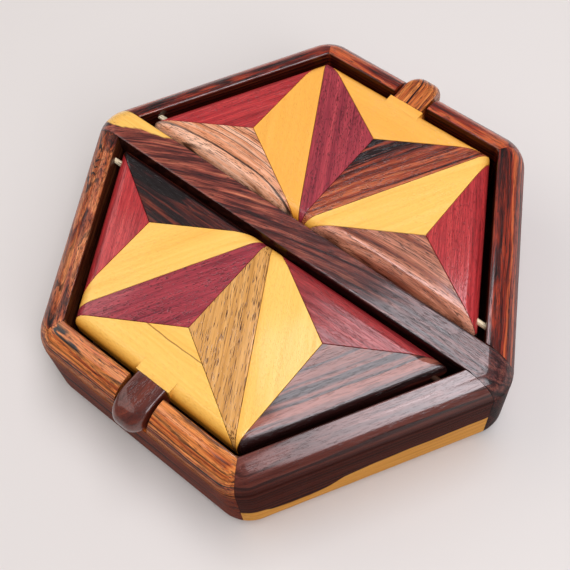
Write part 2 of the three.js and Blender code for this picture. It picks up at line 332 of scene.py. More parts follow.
@dataclass(frozen=True)
class Bore:
    """A round hole along X, drilled for a hinge pin."""

    start: float
    end: float
    y: float
    z: float
    diameter: float
    sides: int = 40

    def rod(self, radius: float, chamfer: float = 0.0) -> Solid:
        """Round bar along X: circles of one radius, smaller at the ends where it is chamfered.

        Args:
            radius: The bar's radius.
            chamfer: How far its ends are chamfered, 0 for square ends.

        Returns:
            The bar.
        """
        turn = np.arange(self.sides) * 2 * math.pi / self.sides
        low, high = sorted((self.start, self.end))
        x = np.array([low, low + chamfer, high - chamfer, high])
        r = np.array([radius - chamfer, radius, radius, radius - chamfer])
        if chamfer == 0:
            x, r = x[[0, 3]], r[[0, 3]]
        rings = np.stack(
            [
                np.broadcast_to(x[:, None], (len(x), self.sides)),
                self.y + r[:, None] * np.cos(turn),
                self.z + r[:, None] * np.sin(turn),
            ],
            axis=-1,
        )
        return Solid.from_rings(rings)

    def cut(self, piece: bpy.types.Object) -> None:
        """Takes the hole out of a piece and leaves a plain mesh.

        Args:
            piece: The piece, at the origin.
        """
        tool = self.rod(self.diameter / 2).build("drill", Grain())
        cutter = piece.modifiers.new("drill", "BOOLEAN")
        cutter.operation = "DIFFERENCE"
        cutter.solver = "EXACT"
        cutter.object = tool
        graph = bpy.context.evaluated_depsgraph_get()
        bored = bpy.data.meshes.new_from_object(piece.evaluated_get(graph))
        piece.modifiers.clear()
        piece.data = bored
        if GRAIN in bored.attributes:
            bored.attributes.remove(bored.attributes[GRAIN])
        bpy.data.objects.remove(tool)


# Materials


def linear(colour: str) -> tuple[float, float, float, float]:
    """The linear colour of an sRGB hex code.

    Args:
        colour: A code such as #dedbd5.

    Returns:
        Red, green, blue and an opacity of 1.
    """
    value = np.array([int(colour[i : i + 2], 16) / 255 for i in (1, 3, 5)])
    out = np.where(value <= 0.04045, value / 12.92, ((value + 0.055) / 1.055) ** 2.4)
    return (*(float(x) for x in out), 1.0)


class Shader:
    """One material's nodes."""

    def __init__(self, name: str) -> None:
        """Makes a material without nodes.

        Args:
            name: The material's name.
        """
        self.material = bpy.data.materials.new(name)
        self.material.use_nodes = True
        self.tree = self.material.node_tree
        self.tree.nodes.clear()

    def add(
        self,
        kind: str,
        *values: Feed,
        named: dict[str, Feed] | None = None,
        stops: Sequence[tuple[float, str]] = (),
        **settings: object,
    ) -> bpy.types.Node:
        """Adds a node with its settings and links.

        Args:
            kind: The node's type without its ShaderNode prefix, and its operation after a dot.
            values: What its open inputs take, from the first on.
            named: What further inputs take, by their names.
            stops: Stops of its ramp, as place and sRGB hex code.
            settings: Its properties.

        Returns:
            The node.
        """
        kind, _, operation = kind.partition(".")
        node = self.tree.nodes.new("ShaderNode" + kind)
        if operation:
            node.operation = operation
        for key, value in settings.items():
            setattr(node, key, value)
        taken = list(zip((socket for socket in node.inputs if socket.enabled), values))
        taken += [(node.inputs[key], value) for key, value in (named or {}).items()]
        for socket, value in taken:
            if isinstance(value, Socket):
                self.tree.links.new(value, socket)
            else:
                socket.default_value = value
        for i, (place, colour) in enumerate(stops):
            elements = node.color_ramp.elements
            element = elements[i] if i < 2 else elements.new(place)
            element.position = place
            element.color = linear(colour)
        return node

    def out(
        self,
        kind: str,
        *values: Feed,
        named: dict[str, Feed] | None = None,
        stops: Sequence[tuple[float, str]] = (),
        **settings: object,
    ) -> Socket:
        """Adds a node in the same way and gives its first open output."""
        node = self.add(kind, *values, named=named, stops=stops, **settings)
        return next(socket for socket in node.outputs if socket.enabled)

    def pattern(
        self,
        at: Socket,
        size: Sequence[float],
        detail: float = 2.0,
        roughness: float = 0.5,
        output: str = "Fac",
    ) -> Socket:
        """Cloudy pattern drawn out to a size: noise over coordinates divided by the size.

        Args:
            at: Coordinates in millimetres.
            size: About how long its spots are along each axis, in millimetres.
            detail: How many finer layers are added.
            roughness: Strength of each layer against the one before.
            output: Which of the noise's outputs is wanted.

        Returns:
            The pattern.
        """
        scaled = self.out("VectorMath.MULTIPLY", at, tuple(1 / length for length in size))
        return self.add("TexNoise", scaled, 1.0, detail, roughness).outputs[output]


@dataclass(frozen=True)
class Pores:
    """Open vessels of a wood: short dark dashes along the grain."""

    length: float = 3.0
    width: float = 0.26
    amount: float = 0.7
    colour: str = "#160806"


@dataclass(frozen=True)
class Sapwood:
    """Pale outer wood left on a board, beyond a wavy line.

    The line is given as board coordinates: where across the board (mm) the sapwood starts at points
    along it (mm). Lean moves the line across the board with depth below the face.
    """

    line: tuple[tuple[float, float], ...]
    stops: tuple[tuple[float, str], ...] = (
        (0.0, "#c9822c"),
        (0.45, "#e3a244"),
        (1.0, "#f0bd62"),
    )
    edge: float = 0.7
    lean: float = 0.0
    below: bool = False


@dataclass(frozen=True)
class Texture:
    """Node outputs, 0 to 1, for a wood's fibres, its open pores and its hair-thin dark fibres."""

    fibre: Socket
    pore: Socket
    hair: Socket


@dataclass(frozen=True)
class Places:
    """Node outputs for where a point lies, in millimetres.

    Args:
        box: On the box: along the bar, across it, and up.
        board: In the piece's own board: along it, across its face, and out of the face.
        grain: The same, but across from the fibre that the point lies on.
    """

    box: Socket
    board: Socket
    grain: Socket


@dataclass(frozen=True)
class Wood:
    """A wood and how it was finished.

    Args:
        name: The wood and the surface.
        slot: A material slot's name. It is not used.
        stops: Colours from the darkest band to the lightest.
        ring: Width of a growth band in millimetres.
        pith: How far the middle of the tree lies from the board, across and below, in millimetres.
        waver: How far the bands stray in millimetres.
        streak: Share of the short streaks in the colour, against that of the bands.
        streak_length: About how long they are in millimetres.
        contrast: Values of the figure that take the darkest and the lightest colour.
        drift: How much lighter the figure grows across the board, per millimetre.
        slope: How far the fibres run askew: millimetres across for each one along the board.
        bend: How they curve besides, per millimetre along from the piece's middle.
        lines: Strength of the thin dark lines between the bands.
        line_gap: About how far apart they lie in millimetres.
        line_width: Share of the gap that a line takes, at its core and with its soft edges.
        line_colour: Their colour.
        fibre: Strength of the fine fibre pattern.
        hairs: Strength of the hair-thin dark fibres.
        pores: The open vessels.
        roughness: Of the wood under the lacquer.
        coat: Weight of the lacquer film.
        thin_coat: Where along the board the film is thin, where it is full, and the share that the
            thin end has, or None for an even film.
        side_coat: Share of it left on the upright sides of the case, which hands have rubbed dull.
        side_shade: Multiplies the colour on those sides with painted shade, as they lie in shade
            under the light from above.
        side_from: Heights on the box where that darkening is full, and where it starts.
        dark_end: Where along the board its heart starts to darken, where it has, and the colour
            that then multiplies its own.
        shade_axis: Board coordinate that runs out of the faces beside a gap (1 across, 2 through).
        shade_from: Where on it the faces in the gap lie, and where their painted shade has faded
            out.
        coat_roughness: Of the lacquer film.
        coat_ior: Its index of refraction: higher where it was built up and polished more.
        relief: Depth of pores and fibres in millimetres.
        sapwood: Pale edge, if the board has one.
        edge_colour: Multiplies the colour on the lids' sides and rounded upper edge, fading out
            towards the flat top.
        streak_at: Place across the box (mm) of one thin brown line, if the piece has it.
        bare_mesh: True for a piece without the grain attribute, whose fibres run along the box's X.
    """

    name: str
    slot: str
    stops: tuple[tuple[float, str], ...]
    ring: float = 3.0
    pith: tuple[float, float] = (40.0, 30.0)
    waver: float = 3.0
    streak: float = 0.4
    streak_length: float = 48.0
    contrast: tuple[float, float] = (0.4, 0.6)
    drift: float = 0.0
    slope: float = 0.0
    bend: float = 0.0
    lines: float = 0.85
    line_gap: float = 2.2
    line_width: tuple[float, float] = (0.05, 0.14)
    line_colour: str = "#140706"
    fibre: float = 0.4
    hairs: float = 0.45
    pores: Pores = field(default_factory=Pores)
    roughness: float = 0.38
    coat: float = 1.0
    thin_coat: tuple[float, float, float] | None = None
    side_coat: float = 1.0
    side_shade: str | None = None
    side_from: tuple[float, float] = (28.0, 38.0)
    dark_end: tuple[float, float, str] | None = None
    shade_axis: int | None = None
    shade_from: tuple[float, float] = (0.0, 0.5)
    coat_roughness: float = 0.1
    coat_ior: float = 1.6
    relief: float = 0.05
    sapwood: Sapwood | None = None
    edge_colour: str | None = None
    streak_at: float | None = None
    bare_mesh: bool = False

    def material(self) -> bpy.types.Material:
        """The wood's material, made once."""
        return bpy.data.materials.get(self.name) or self._make()

    def _make(self) -> bpy.types.Material:
        """Builds the material's nodes.

        Returns:
            The material.
        """
        s = Shader(self.name)
        box = s.out("VectorMath.MULTIPLY", s.add("TexCoord").outputs["Object"], (1 / MM,) * 3)
        board = box
        if not self.bare_mesh:
            board = s.add("Attribute", attribute_name=GRAIN).outputs["Vector"]
        at = Places(box, board, self._bent(s, board))
        texture = self._texture(s, at.grain)
        colour = self._with_marks(s, at, self._wood_colour(s, at.grain, texture))
        self._surface(s, at, texture, colour)
        return s.material

    def _bent(self, s: Shader, board: Socket) -> Socket:
        """Coordinates along the fibres: across' = across - slope u - bend u^2.

        u runs along the board from the piece's middle.

        Args:
            s: The material's nodes.
            board: Board coordinates.

        Returns:
            Coordinates along the fibres.
        """
        if not (self.slope or self.bend):
            return board
        along, across, through = s.add("SeparateXYZ", board).outputs
        rise = s.out("Math.ADD", s.out("Math.MULTIPLY", along, self.bend), self.slope)
        level = s.out("Math.SUBTRACT", across, s.out("Math.MULTIPLY", along, rise))
        return s.out("CombineXYZ", along, level, through)

    def _figure(self, s: Shader, grain: Socket) -> tuple[Socket, Socket]:
        """Growth rings as the board's face cuts them, strayed, with short streaks among them.

        A ring's radius is sqrt(across^2 + through^2) from the pith.

        Args:
            s: The material's nodes.
            grain: Coordinates along the fibres.

        Returns:
            The place in the ramp of colours, and the strength of the dark lines.
        """
        stray = s.pattern(grain, STRAY, 3.0, 0.55, "Color")
        centred = s.out("VectorMath.SUBTRACT", stray, (0.5,) * 3)
        amount = (0.0, 2 * self.waver, 2 * self.waver)
        strayed = s.out("VectorMath.MULTIPLY_ADD", centred, amount, grain)
        _, across, through = s.add("SeparateXYZ", strayed).outputs
        beside = s.out("Math.POWER", s.out("Math.ADD", across, self.pith[0]), 2.0)
        below = s.out("Math.POWER", s.out("Math.ADD", through, self.pith[1]), 2.0)
        radius = s.out("Math.SQRT", s.out("Math.ADD", beside, below))
        return self._bands(s, strayed, radius), self._dark_lines(s, strayed, radius)

    def _bands(self, s: Shader, strayed: Socket, radius: Socket) -> Socket:
        """Light and dark bands, which noise along the radius shades, with the short streaks.

        Args:
            s: The material's nodes.
            strayed: Coordinates along the fibres, strayed.
            radius: Distance from the pith.

        Returns:
            The place in the ramp of colours.
        """
        ring = s.out("Math.DIVIDE", radius, self.ring)
        bands = s.out("TexNoise", ring, 1.0, 4.0, 0.62, noise_dimensions="1D")
        size = (self.streak_length, STREAK_WIDTH, STREAK_WIDTH)
        streaks = s.out("Math.MULTIPLY", s.pattern(strayed, size, 4.0, 0.6), self.streak)
        both = s.out("Math.ADD", s.out("Math.MULTIPLY", bands, 1 - self.streak), streaks)
        if self.drift:
            across = s.add("SeparateXYZ", strayed).outputs[1]
            both = s.out("Math.ADD", both, s.out("Math.MULTIPLY", across, self.drift))
        return s.out("MapRange", both, *self.contrast)

    def _dark_lines(self, s: Shader, strayed: Socket, radius: Socket) -> Socket:
        """Thin dark lines, one to a ring, that crowd together and open out again.

        They fade in and out along the board, as the dark summer wood does.

        Args:
            s: The material's nodes.
            strayed: Coordinates along the fibres, strayed.
            radius: Distance from the pith.

        Returns:
            Their strength.
        """
        few = s.out("Math.DIVIDE", radius, CROWDED_LINES * self.line_gap)
        crowding = s.out("TexNoise", few, 1.0, 1.0, noise_dimensions="1D")
        moved = s.out("Math.MULTIPLY", crowding, 5.0)
        turns = s.out("Math.ADD", s.out("Math.DIVIDE", radius, self.line_gap), moved)
        off_line = s.out("Math.SUBTRACT", s.out("Math.FRACT", turns), 0.5)
        line = s.out("MapRange", s.out("Math.ABSOLUTE", off_line), *self.line_width, 1.0, 0.0)
        fade = s.out("MapRange", s.pattern(strayed, LINE_FADE), 0.35, 0.6)
        return s.out("Math.MULTIPLY", s.out("Math.MULTIPLY", line, fade), self.lines)

    def _texture(self, s: Shader, grain: Socket) -> Texture:
        """Fibres, pores and hair-thin dark fibres, all drawn out along the grain.

        Vessels crowd in some bands and thin out in others, so the dashes come in rows. Fibres and
        hairs are drawn coarser than real ones, 0.3 and 0.7 mm across, so that they show.

        Args:
            s: The material's nodes.
            grain: Coordinates along the fibres.

        Returns:
            The three patterns.
        """
        fibre = s.pattern(grain, FIBRES, 3.0, 0.6)
        size = (self.pores.length, self.pores.width, self.pores.width)
        vessels = s.pattern(grain, size, 1.0, 0.4)
        # Noise above this value is a vessel: 0.66 where they are few, 0.54 where they crowd
        open_from = s.out("MapRange", s.pattern(grain, PORE_ROWS), 0.3, 0.7, 0.66, 0.54)
        pore = s.out("MapRange", s.out("Math.SUBTRACT", vessels, open_from), 0.0, 0.05)
        fine = s.out("Math.SUBTRACT", s.pattern(grain, HAIRS, 1.0, 0.4), 0.5)
        hair = s.out("MapRange", s.out("Math.ABSOLUTE", fine), 0.01, 0.06, 1.0, 0.0)
        return Texture(fibre, pore, hair)

    def _wood_colour(self, s: Shader, grain: Socket, texture: Texture) -> Socket:
        """Colour of the fresh wood: figure, dark lines, fibres, hairs and pores.

        Args:
            s: The material's nodes.
            grain: Coordinates along the fibres.
            texture: The fine patterns.

        Returns:
            The colour.
        """
        figure, lines = self._figure(s, grain)
        dark = linear(self.line_colour)
        colour = s.out("ValToRGB", figure, stops=self.stops)
        colour = s.out("Mix", lines, colour, dark, data_type="RGBA")
        light = 1 + self.fibre * 0.6
        shade = s.out("MapRange", texture.fibre, 0.25, 0.75, 1 - self.fibre, light)
        grey = s.out("CombineColor", shade, shade, shade)
        colour = s.out("Mix", 1.0, colour, grey, data_type="RGBA", blend_type="MULTIPLY")
        hair = s.out("Math.MULTIPLY", texture.hair, self.hairs)
        colour = s.out("Mix", hair, colour, dark, data_type="RGBA")
        pore = s.out("Math.MULTIPLY", texture.pore, self.pores.amount)
        return s.out("Mix", pore, colour, linear(self.pores.colour), data_type="RGBA")

    def _tinted(self, s: Shader, share: Socket, colour: Socket, tint: str) -> Socket:
        """A colour multiplied by a tint where the share is 1."""
        dark = s.out("Mix", 1.0, colour, linear(tint), data_type="RGBA", blend_type="MULTIPLY")
        return s.out("Mix", share, colour, dark, data_type="RGBA")

    def _with_marks(self, s: Shader, at: Places, colour: Socket) -> Socket:
        """Lays over the colour the sapwood that the board adds, and painted shade on the lower
        sides and in the gaps.

        Args:
            s: The material's nodes.
            at: Where a point lies.
            colour: Colour of the fresh wood.

        Returns:
            The finished colour.
        """
        # Painted shade: the box darkened lower down its upright sides
        if self.side_shade:
            height = s.add("SeparateXYZ", at.box).outputs[2]
            share = s.out("MapRange", height, *self.side_from, 1.0, 0.0)
            colour = self._tinted(s, share, colour, self.side_shade)
        if self.dark_end:
            start, end, tint = self.dark_end
            share = s.out("MapRange", s.add("SeparateXYZ", at.board).outputs[0], start, end)
            colour = self._tinted(s, share, colour, tint)
        if self.sapwood:
            colour = self._with_sapwood(s, at.board, colour)
        # Painted shade: the faces beside a gap darkened towards it
        if self.shade_axis is not None:
            depth = s.out("Math.ABSOLUTE", s.add("SeparateXYZ", at.board).outputs[self.shade_axis])
            share = s.out("MapRange", depth, *self.shade_from, GAP_SHADE_SHARE, 0.0)
            colour = s.out("Mix", share, colour, linear(GAP_SHADE), data_type="RGBA")
        # The lids' sides and rounded upper edge tinted darker and more orange, fading out towards
        # the flat top
        if self.edge_colour:
            height = s.add("SeparateXYZ", at.box).outputs[2]
            share = s.out("MapRange", height, *EDGE_HEIGHTS, 1.0, 0.0)
            colour = self._tinted(s, share, colour, self.edge_colour)
        if self.streak_at is not None:
            wave = s.out("Math.MULTIPLY", s.pattern(at.box, BROWN_WAVE, 1.0), BROWN_STRAY)
            waved = s.out("Math.ADD", s.add("SeparateXYZ", at.box).outputs[1], wave)
            middle = self.streak_at + BROWN_STRAY / 2
            off = s.out("Math.ABSOLUTE", s.out("Math.SUBTRACT", waved, middle))
            share = s.out("MapRange", off, *BROWN_HALF_WIDTHS, BROWN_SHARE, 0.0)
            colour = s.out("Mix", share, colour, linear(BROWN_STREAK), data_type="RGBA")
        return colour

    def _with_sapwood(self, s: Shader, board: Socket, colour: Socket) -> Socket:
        """Lays the sapwood over the board's colour beyond its wavy line.

        Args:
            s: The material's nodes.
            board: Board coordinates.
            colour: Colour of the heartwood.

        Returns:
            The colour of both.
        """
        sap = self.sapwood
        u, v, depth = s.add("SeparateXYZ", board).outputs
        along, across = np.array(sorted(sap.line)).T
        low, high = float(along[0]), float(along[-1])
        lift, room = float(across.min() - 1), float(np.ptp(across) + 2)
        curve = s.add("FloatCurve", 1.0, s.out("MapRange", u, low, high))
        points = curve.mapping.curves[0].points
        places = np.stack([(along - low) / (high - low), (across - lift) / room], axis=-1).tolist()
        for place in places[1:-1]:
            points.new(*place)
        points[0].location = places[0]
        points[len(places) - 1].location = places[-1]
        curve.mapping.update()
        line = s.out("Math.ADD", s.out("Math.MULTIPLY", curve.outputs[0], room), lift)
        ragged = s.out("Math.SUBTRACT", s.pattern(board, SAP_RAGGED, 3.0), 0.5)
        line = s.out("Math.ADD", line, s.out("Math.MULTIPLY", ragged, SAPWOOD_STRAY))
        line = s.out("Math.ADD", line, s.out("Math.MULTIPLY", depth, sap.lean))
        beyond = s.out("Math.SUBTRACT", v, line)
        if sap.below:
            beyond = s.out("Math.MULTIPLY", beyond, -1.0)
        inside = s.out("MapRange", beyond, -sap.edge / 2, sap.edge / 2)
        pale = s.out("ValToRGB", s.pattern(board, SAP_FIGURE, 4.0), stops=sap.stops)
        lines = s.out("MapRange", s.pattern(board, SAP_LINES), 0.6, 0.7, 0.0, 0.5)
        pale = s.out("Mix", lines, pale, linear(SAPWOOD_LINE), data_type="RGBA")
        return s.out("Mix", inside, colour, pale, data_type="RGBA")

    def _over_edge(self, s: Shader, box: Socket, full: float) -> Feed:
        """A value that is full on top and falls to the rubbed sides' share over the rounded edge.

        Args:
            s: The material's nodes.
            box: Where a point lies on the box.
            full: The value on top.

        Returns:
            A node's output, or the plain number where the sides are no different.
        """
        if self.side_coat == 1:
            return full
        height = s.add("SeparateXYZ", box).outputs[2]
        return s.out("MapRange", height, *RUBBED_HEIGHTS, full * self.side_coat, full)

    def _film(self, s: Shader, at: Places, texture: Texture) -> Socket:
        """Weight of the lacquer film.

        Pores and open fibres are not filled level, so the film shines less over them.

        Args:
            s: The material's nodes.
            at: Where a point lies.
            texture: The fine patterns.

        Returns:
            The weight.
        """
        over_pore, over_hair = 1 - PORE_DULLS * self.pores.amount, 1 - HAIR_DULLS * self.hairs
        pore = s.out("MapRange", texture.pore, 0.0, 1.0, 1.0, over_pore)
        hair = s.out("MapRange", texture.hair, 0.0, 1.0, 1.0, over_hair)
        closed = s.out("Math.MULTIPLY", pore, hair)
        if self.thin_coat:
            thin, full, share = self.thin_coat
            along = s.add("SeparateXYZ", at.board).outputs[0]
            worn = s.out("MapRange", along, thin, full, share, 1.0)
            closed = s.out("Math.MULTIPLY", closed, worn)
        return s.out("Math.MULTIPLY", closed, self._over_edge(s, at.box, self.coat))

    def _surface(self, s: Shader, at: Places, texture: Texture, colour: Socket) -> None:
        """The shader: grained wood under a lacquer film that sinks into the open pores.

        Args:
            s: The material's nodes.
            at: Where a point lies.
            texture: The fine patterns.
            colour: The finished colour.
        """
        # Against the pores' depth the fibres rise a little
        raised = s.out("Math.MULTIPLY", texture.fibre, 0.25)
        height = s.out("Math.SUBTRACT", raised, s.out("Math.MULTIPLY", texture.pore, 0.8))
        bump = {"Height": height, "Distance": self.relief * MM, "Strength": 1.0}
        smooth, rough = self.roughness - 0.06, self.roughness + 0.08
        inputs = {
            "Base Color": colour,
            "Roughness": s.out("MapRange", texture.fibre, 0.2, 0.8, smooth, rough),
            "IOR": 1.5,
            "Specular IOR Level": self._over_edge(s, at.box, WOOD_SPECULAR),
            "Normal": s.out("Bump", named=bump),
        }
        if self.coat:
            # Sanding leaves a slow swell, which breaks up the film's reflections a little
            swell = s.out("Math.MULTIPLY", s.pattern(at.grain, SWELL, 1.0), 2.5)
            sunk = s.out("Math.SUBTRACT", swell, s.out("Math.MULTIPLY", texture.pore, 0.6))
            film = {"Height": sunk, "Distance": FILM_RELIEF * MM, "Strength": 1.0}
            inputs |= {
                "Coat Weight": self._film(s, at, texture),
                "Coat Roughness": self.coat_roughness,
                "Coat IOR": self.coat_ior,
                "Coat Normal": s.out("Bump", named=film),
            }
        s.add("OutputMaterial", s.out("BsdfPrincipled", named=inputs))


class Woods(Enum):
    """The woods of the box, each with its lacquered or oiled surface."""

    # Red-brown with black bands: most of the case reads as one heavy dark timber
    ROSEWOOD = Wood(
        "rosewood_lacquered",
        "rosewood",
        ((0.0, "#1c0705"), (0.25, "#5a160c"), (0.5, "#942c15"), (0.8, "#b84624"), (1.0, "#d06434")),
        ring=1.2,
        pith=(40.0, 19.0),
        waver=2.0,
        line_gap=0.9,
        side_coat=0.05,
        # Painted shade on the lower sides and on the faces beside the gaps
        side_shade="#c8a090",
        shade_axis=2,
    )
    # The same timber lying in its orange heart, with fine black lines between
    ORANGE_ROSEWOOD = Wood(
        "orange_rosewood_lacquered",
        "orange_rosewood",
        (
            (0.0, "#3c160a"),
            (0.25, "#642610"),
            (0.45, "#a64a1c"),
            (0.72, "#d47030"),
            (1.0, "#e88e46"),
        ),
        ring=1.3,
        pith=(41.55, 19.0),
        waver=1.4,
        streak=0.35,
        contrast=(0.32, 0.58),
        lines=1.0,
        line_gap=0.8,
        line_width=(0.1, 0.18),
        side_coat=0.05,
        # Painted shade on the lower sides and on the faces beside the gaps
        side_shade="#a06c44",
        side_from=(28.0, 36.0),
        shade_axis=2,
    )
    # Browner, with its fibres running out of the edge at a slant
    ASKEW_ROSEWOOD = replace(
        ORANGE_ROSEWOOD,
        name="askew_rosewood_lacquered",
        slot="rosewood",
        stops=(
            (0.0, "#220a05"),
            (0.28, "#682210"),
            (0.5, "#a04722"),
            (0.78, "#c66a3a"),
            (1.0, "#da8650"),
        ),
        waver=2.4,
        streak=0.5,
        slope=0.09,
        coat=0.5,
        pores=Pores(2.4, 0.3, 0.85),
    )
    # The far lid's rosewood: salmon and orange with black lines along it, without the case's
    # painted shade
    STRIPED_ROSEWOOD = Wood(
        "striped_rosewood_lacquered",
        "orange_rosewood",
        (
            (0.0, "#5a2a18"),
            (0.22, "#b0603a"),
            (0.42, "#da8a5c"),
            (0.7, "#f2ac82"),
            (1.0, "#fcc4a0"),
        ),
        ring=3.0,
        pith=(47.0, 30.0),
        waver=2.0,
        streak=0.6,
        bend=0.004,
        contrast=(0.29, 0.56),
        lines=0.9,
        line_gap=1.8,
        hairs=0.25,
        fibre=0.2,
    )
    # The same seen in a middle ray, heavier in its black bands
    BANDED_ROSEWOOD = Wood(
        "banded_rosewood_lacquered",
        "rosewood",
        (
            (0.0, "#1a0706"),
            (0.25, "#50190e"),
            (0.48, "#8c3520"),
            (0.78, "#b04e2f"),
            (1.0, "#c86c42"),
        ),
        ring=3.2,
        waver=2.4,
        contrast=(0.47, 0.68),
        drift=-0.012,
        hairs=0.35,
    )
    # And once more, arched as the far lid's right inner piece was sawn
    ARCHED_ROSEWOOD = replace(
        BANDED_ROSEWOOD,
        name="arched_rosewood_lacquered",
        slot="orange_rosewood",
        stops=(
            (0.0, "#5c2a1c"),
            (0.25, "#98523c"),
            (0.5, "#bc7456"),
            (0.75, "#d0886a"),
            (1.0, "#e09c80"),
        ),
        contrast=(0.3, 0.68),
        drift=0.0,
        lines=0.5,
        bend=-0.003,
    )
    # Nearly black, so that the sheen on it shows most
    DARK_ROSEWOOD = Wood(
        "dark_rosewood_lacquered",
        "dark_rosewood",
        ((0.0, "#120606"), (0.35, "#260d0c"), (0.65, "#4a1a16"), (1.0, "#7c3624")),
        ring=2.8,
        waver=3.0,
    )
    # The same browned and streaked, so that it takes the light more softly
    STREAKED_ROSEWOOD = replace(
        DARK_ROSEWOOD,
        name="streaked_rosewood_lacquered",
        ring=5.0,
        streak=0.25,
        hairs=0.15,
        fibre=0.2,
        pores=Pores(amount=0.35),
        stops=((0.0, "#2c1210"), (0.25, "#54241c"), (0.55, "#7e402f"), (1.0, "#9a5644")),
    )
    # And plain, as the near tongue is
    PLAIN_ROSEWOOD = replace(
        STREAKED_ROSEWOOD,
        name="plain_rosewood_lacquered",
        stops=((0.0, "#481b13"), (0.5, "#66291b"), (1.0, "#803a26")),
        contrast=(0.3, 0.7),
        lines=0.4,
    )
    # Even bright red with faint darker streaks
    RED = Wood(
        "redheart_lacquered",
        "red_wood",
        ((0.0, "#8a1e20"), (0.35, "#b83034"), (0.7, "#cc3e3e"), (1.0, "#d84c48")),
        ring=2.4,
        waver=2.0,
        streak=0.6,
        contrast=(0.34, 0.66),
        hairs=0.35,
        lines=0.3,
        line_gap=1.2,
        line_colour="#5c1012",
        coat=0.75,
        pores=Pores(1.8, 0.25, 0.5, "#4a0c0e"),
    )
    # A board of it that is darker, with more fibre to be seen
    DEEP_RED = replace(
        RED,
        name="redheart_deep_lacquered",
        stops=((0.0, "#701a1e"), (0.35, "#962a2e"), (0.7, "#ae3a3a"), (1.0, "#be4844")),
        hairs=0.5,
        fibre=0.5,
    )
    # Duller maroon with a fine grain
    PURPLE = Wood(
        "purpleheart_lacquered",
        "purple_wood",
        ((0.0, "#7c2030"), (0.4, "#a03440"), (0.75, "#b43e48"), (1.0, "#c44a50")),
        ring=2.4,
        waver=1.8,
        streak=0.7,
        contrast=(0.3, 0.7),
        hairs=0.25,
        lines=0.15,
        line_gap=1.2,
        line_colour="#3a0c10",
        pores=Pores(1.6, 0.28, 0.7, "#3c0c12"),
    )
    # Clear golden yellow, almost without figure
    YELLOW = Wood(
        "yellowheart_lacquered",
        "yellow_wood",
        ((0.0, "#f9b54d"), (0.5, "#fec962"), (1.0, "#ffd674")),
        ring=7.0,
        waver=3.0,
        contrast=(0.25, 0.75),
        lines=0.0,
        hairs=0.03,
        line_colour="#a86a24",
        edge_colour="#ffdca0",
        fibre=0.03,
        coat=0.45,
        pores=Pores(1.5, 0.2, 0.1, "#c98732"),
    )
    # The same wood a shade deeper
    GOLD = replace(
        YELLOW,
        name="yellowheart_deep_lacquered",
        stops=((0.0, "#f7ab40"), (0.5, "#feb84d"), (1.0, "#ffc45c")),
        coat=1.0,
        pores=Pores(1.5, 0.2, 0.1, "#b87526"),
    )
    # Tan with long open pores that hold dark finish
    TAN = Wood(
        "iroko_lacquered",
        "tan_wood",
        ((0.0, "#be8436"), (0.5, "#dea254"), (1.0, "#f4be74")),
        ring=3.0,
        waver=2.4,
        contrast=(0.28, 0.72),
        lines=0.3,
        hairs=0.12,
        line_colour="#7a4a20",
        fibre=0.2,
        pores=Pores(4.5, 0.3, 1.0, "#57300f"),
    )
    # The near lid's yellow outer piece has one thin brown line across it, along the grain
    YELLOW_LINED = replace(YELLOW, name="yellowheart_lined_lacquered", streak_at=-55.2)
    # Plain pale dowel, cut and left bare
    DOWEL = Wood(
        "pale_dowel_bare",
        "pale_dowel",
        ((0.0, "#e4d0a4"), (0.5, "#f2e4c0"), (1.0, "#fcf2d8")),
        ring=1.2,
        lines=0.0,
        hairs=0.0,
        fibre=0.1,
        coat=0.0,
        roughness=0.6,
    )
    # The same dowel, made dark, as the near lid's right pin must be: it doesn't show
    DARK_DOWEL = replace(
        DOWEL,
        name="dark_dowel_near_right",
        stops=((0.0, "#2a170e"), (0.5, "#3a2216"), (1.0, "#4a2e1e")),
    )
    # Mahogany-coloured bottom board, thinly oiled
    PANEL = Wood(
        "bottom_board_oiled",
        "panel_wood",
        ((0.0, "#4a2314"), (0.4, "#6a361f"), (0.75, "#84482c"), (1.0, "#955636")),
        ring=5.0,
        waver=3.0,
        lines=0.4,
        hairs=0.3,
        bare_mesh=True,
        coat=0.15,
        coat_roughness=0.35,
        roughness=0.5,
    )
    # The centre bar: wavy grain that runs out at a slant, with sapwood left on its left end
    BAR_ROSEWOOD = Wood(
        "rosewood_bar_with_sapwood",
        "rosewood",
        ((0.0, "#341413"), (0.3, "#622822"), (0.55, "#984839"), (0.8, "#bc654c"), (1.0, "#cf7b59")),
        ring=2.4,
        pith=(43.0, 30.0),
        waver=2.8,
        streak=0.6,
        streak_length=20.0,
        line_gap=2.8,
        lines=0.65,
        contrast=(0.37, 0.64),
        slope=0.25,
        bend=-0.002,
        side_coat=0.05,
        # Painted shade on the lower sides and on the faces beside the gaps
        side_shade="#a08078",
        dark_end=(-25.0, 40.0, "#a4acc2"),
        shade_axis=1,
        shade_from=(5.75, 5.2),
        sapwood=Sapwood(
            (
                (-90, -3.2),
                (-83.9, -2.9),
                (-81.6, -2.6),
                (-78.6, -1.7),
                (-72.3, 1.4),
                (-66.6, 3.0),
                (-62, 4.2),
                (-56, 6.5),
            ),
            stops=((0.0, "#eeaa4a"), (0.45, "#fec45c"), (1.0, "#ffd878")),
            lean=-0.4,
        ),
    )
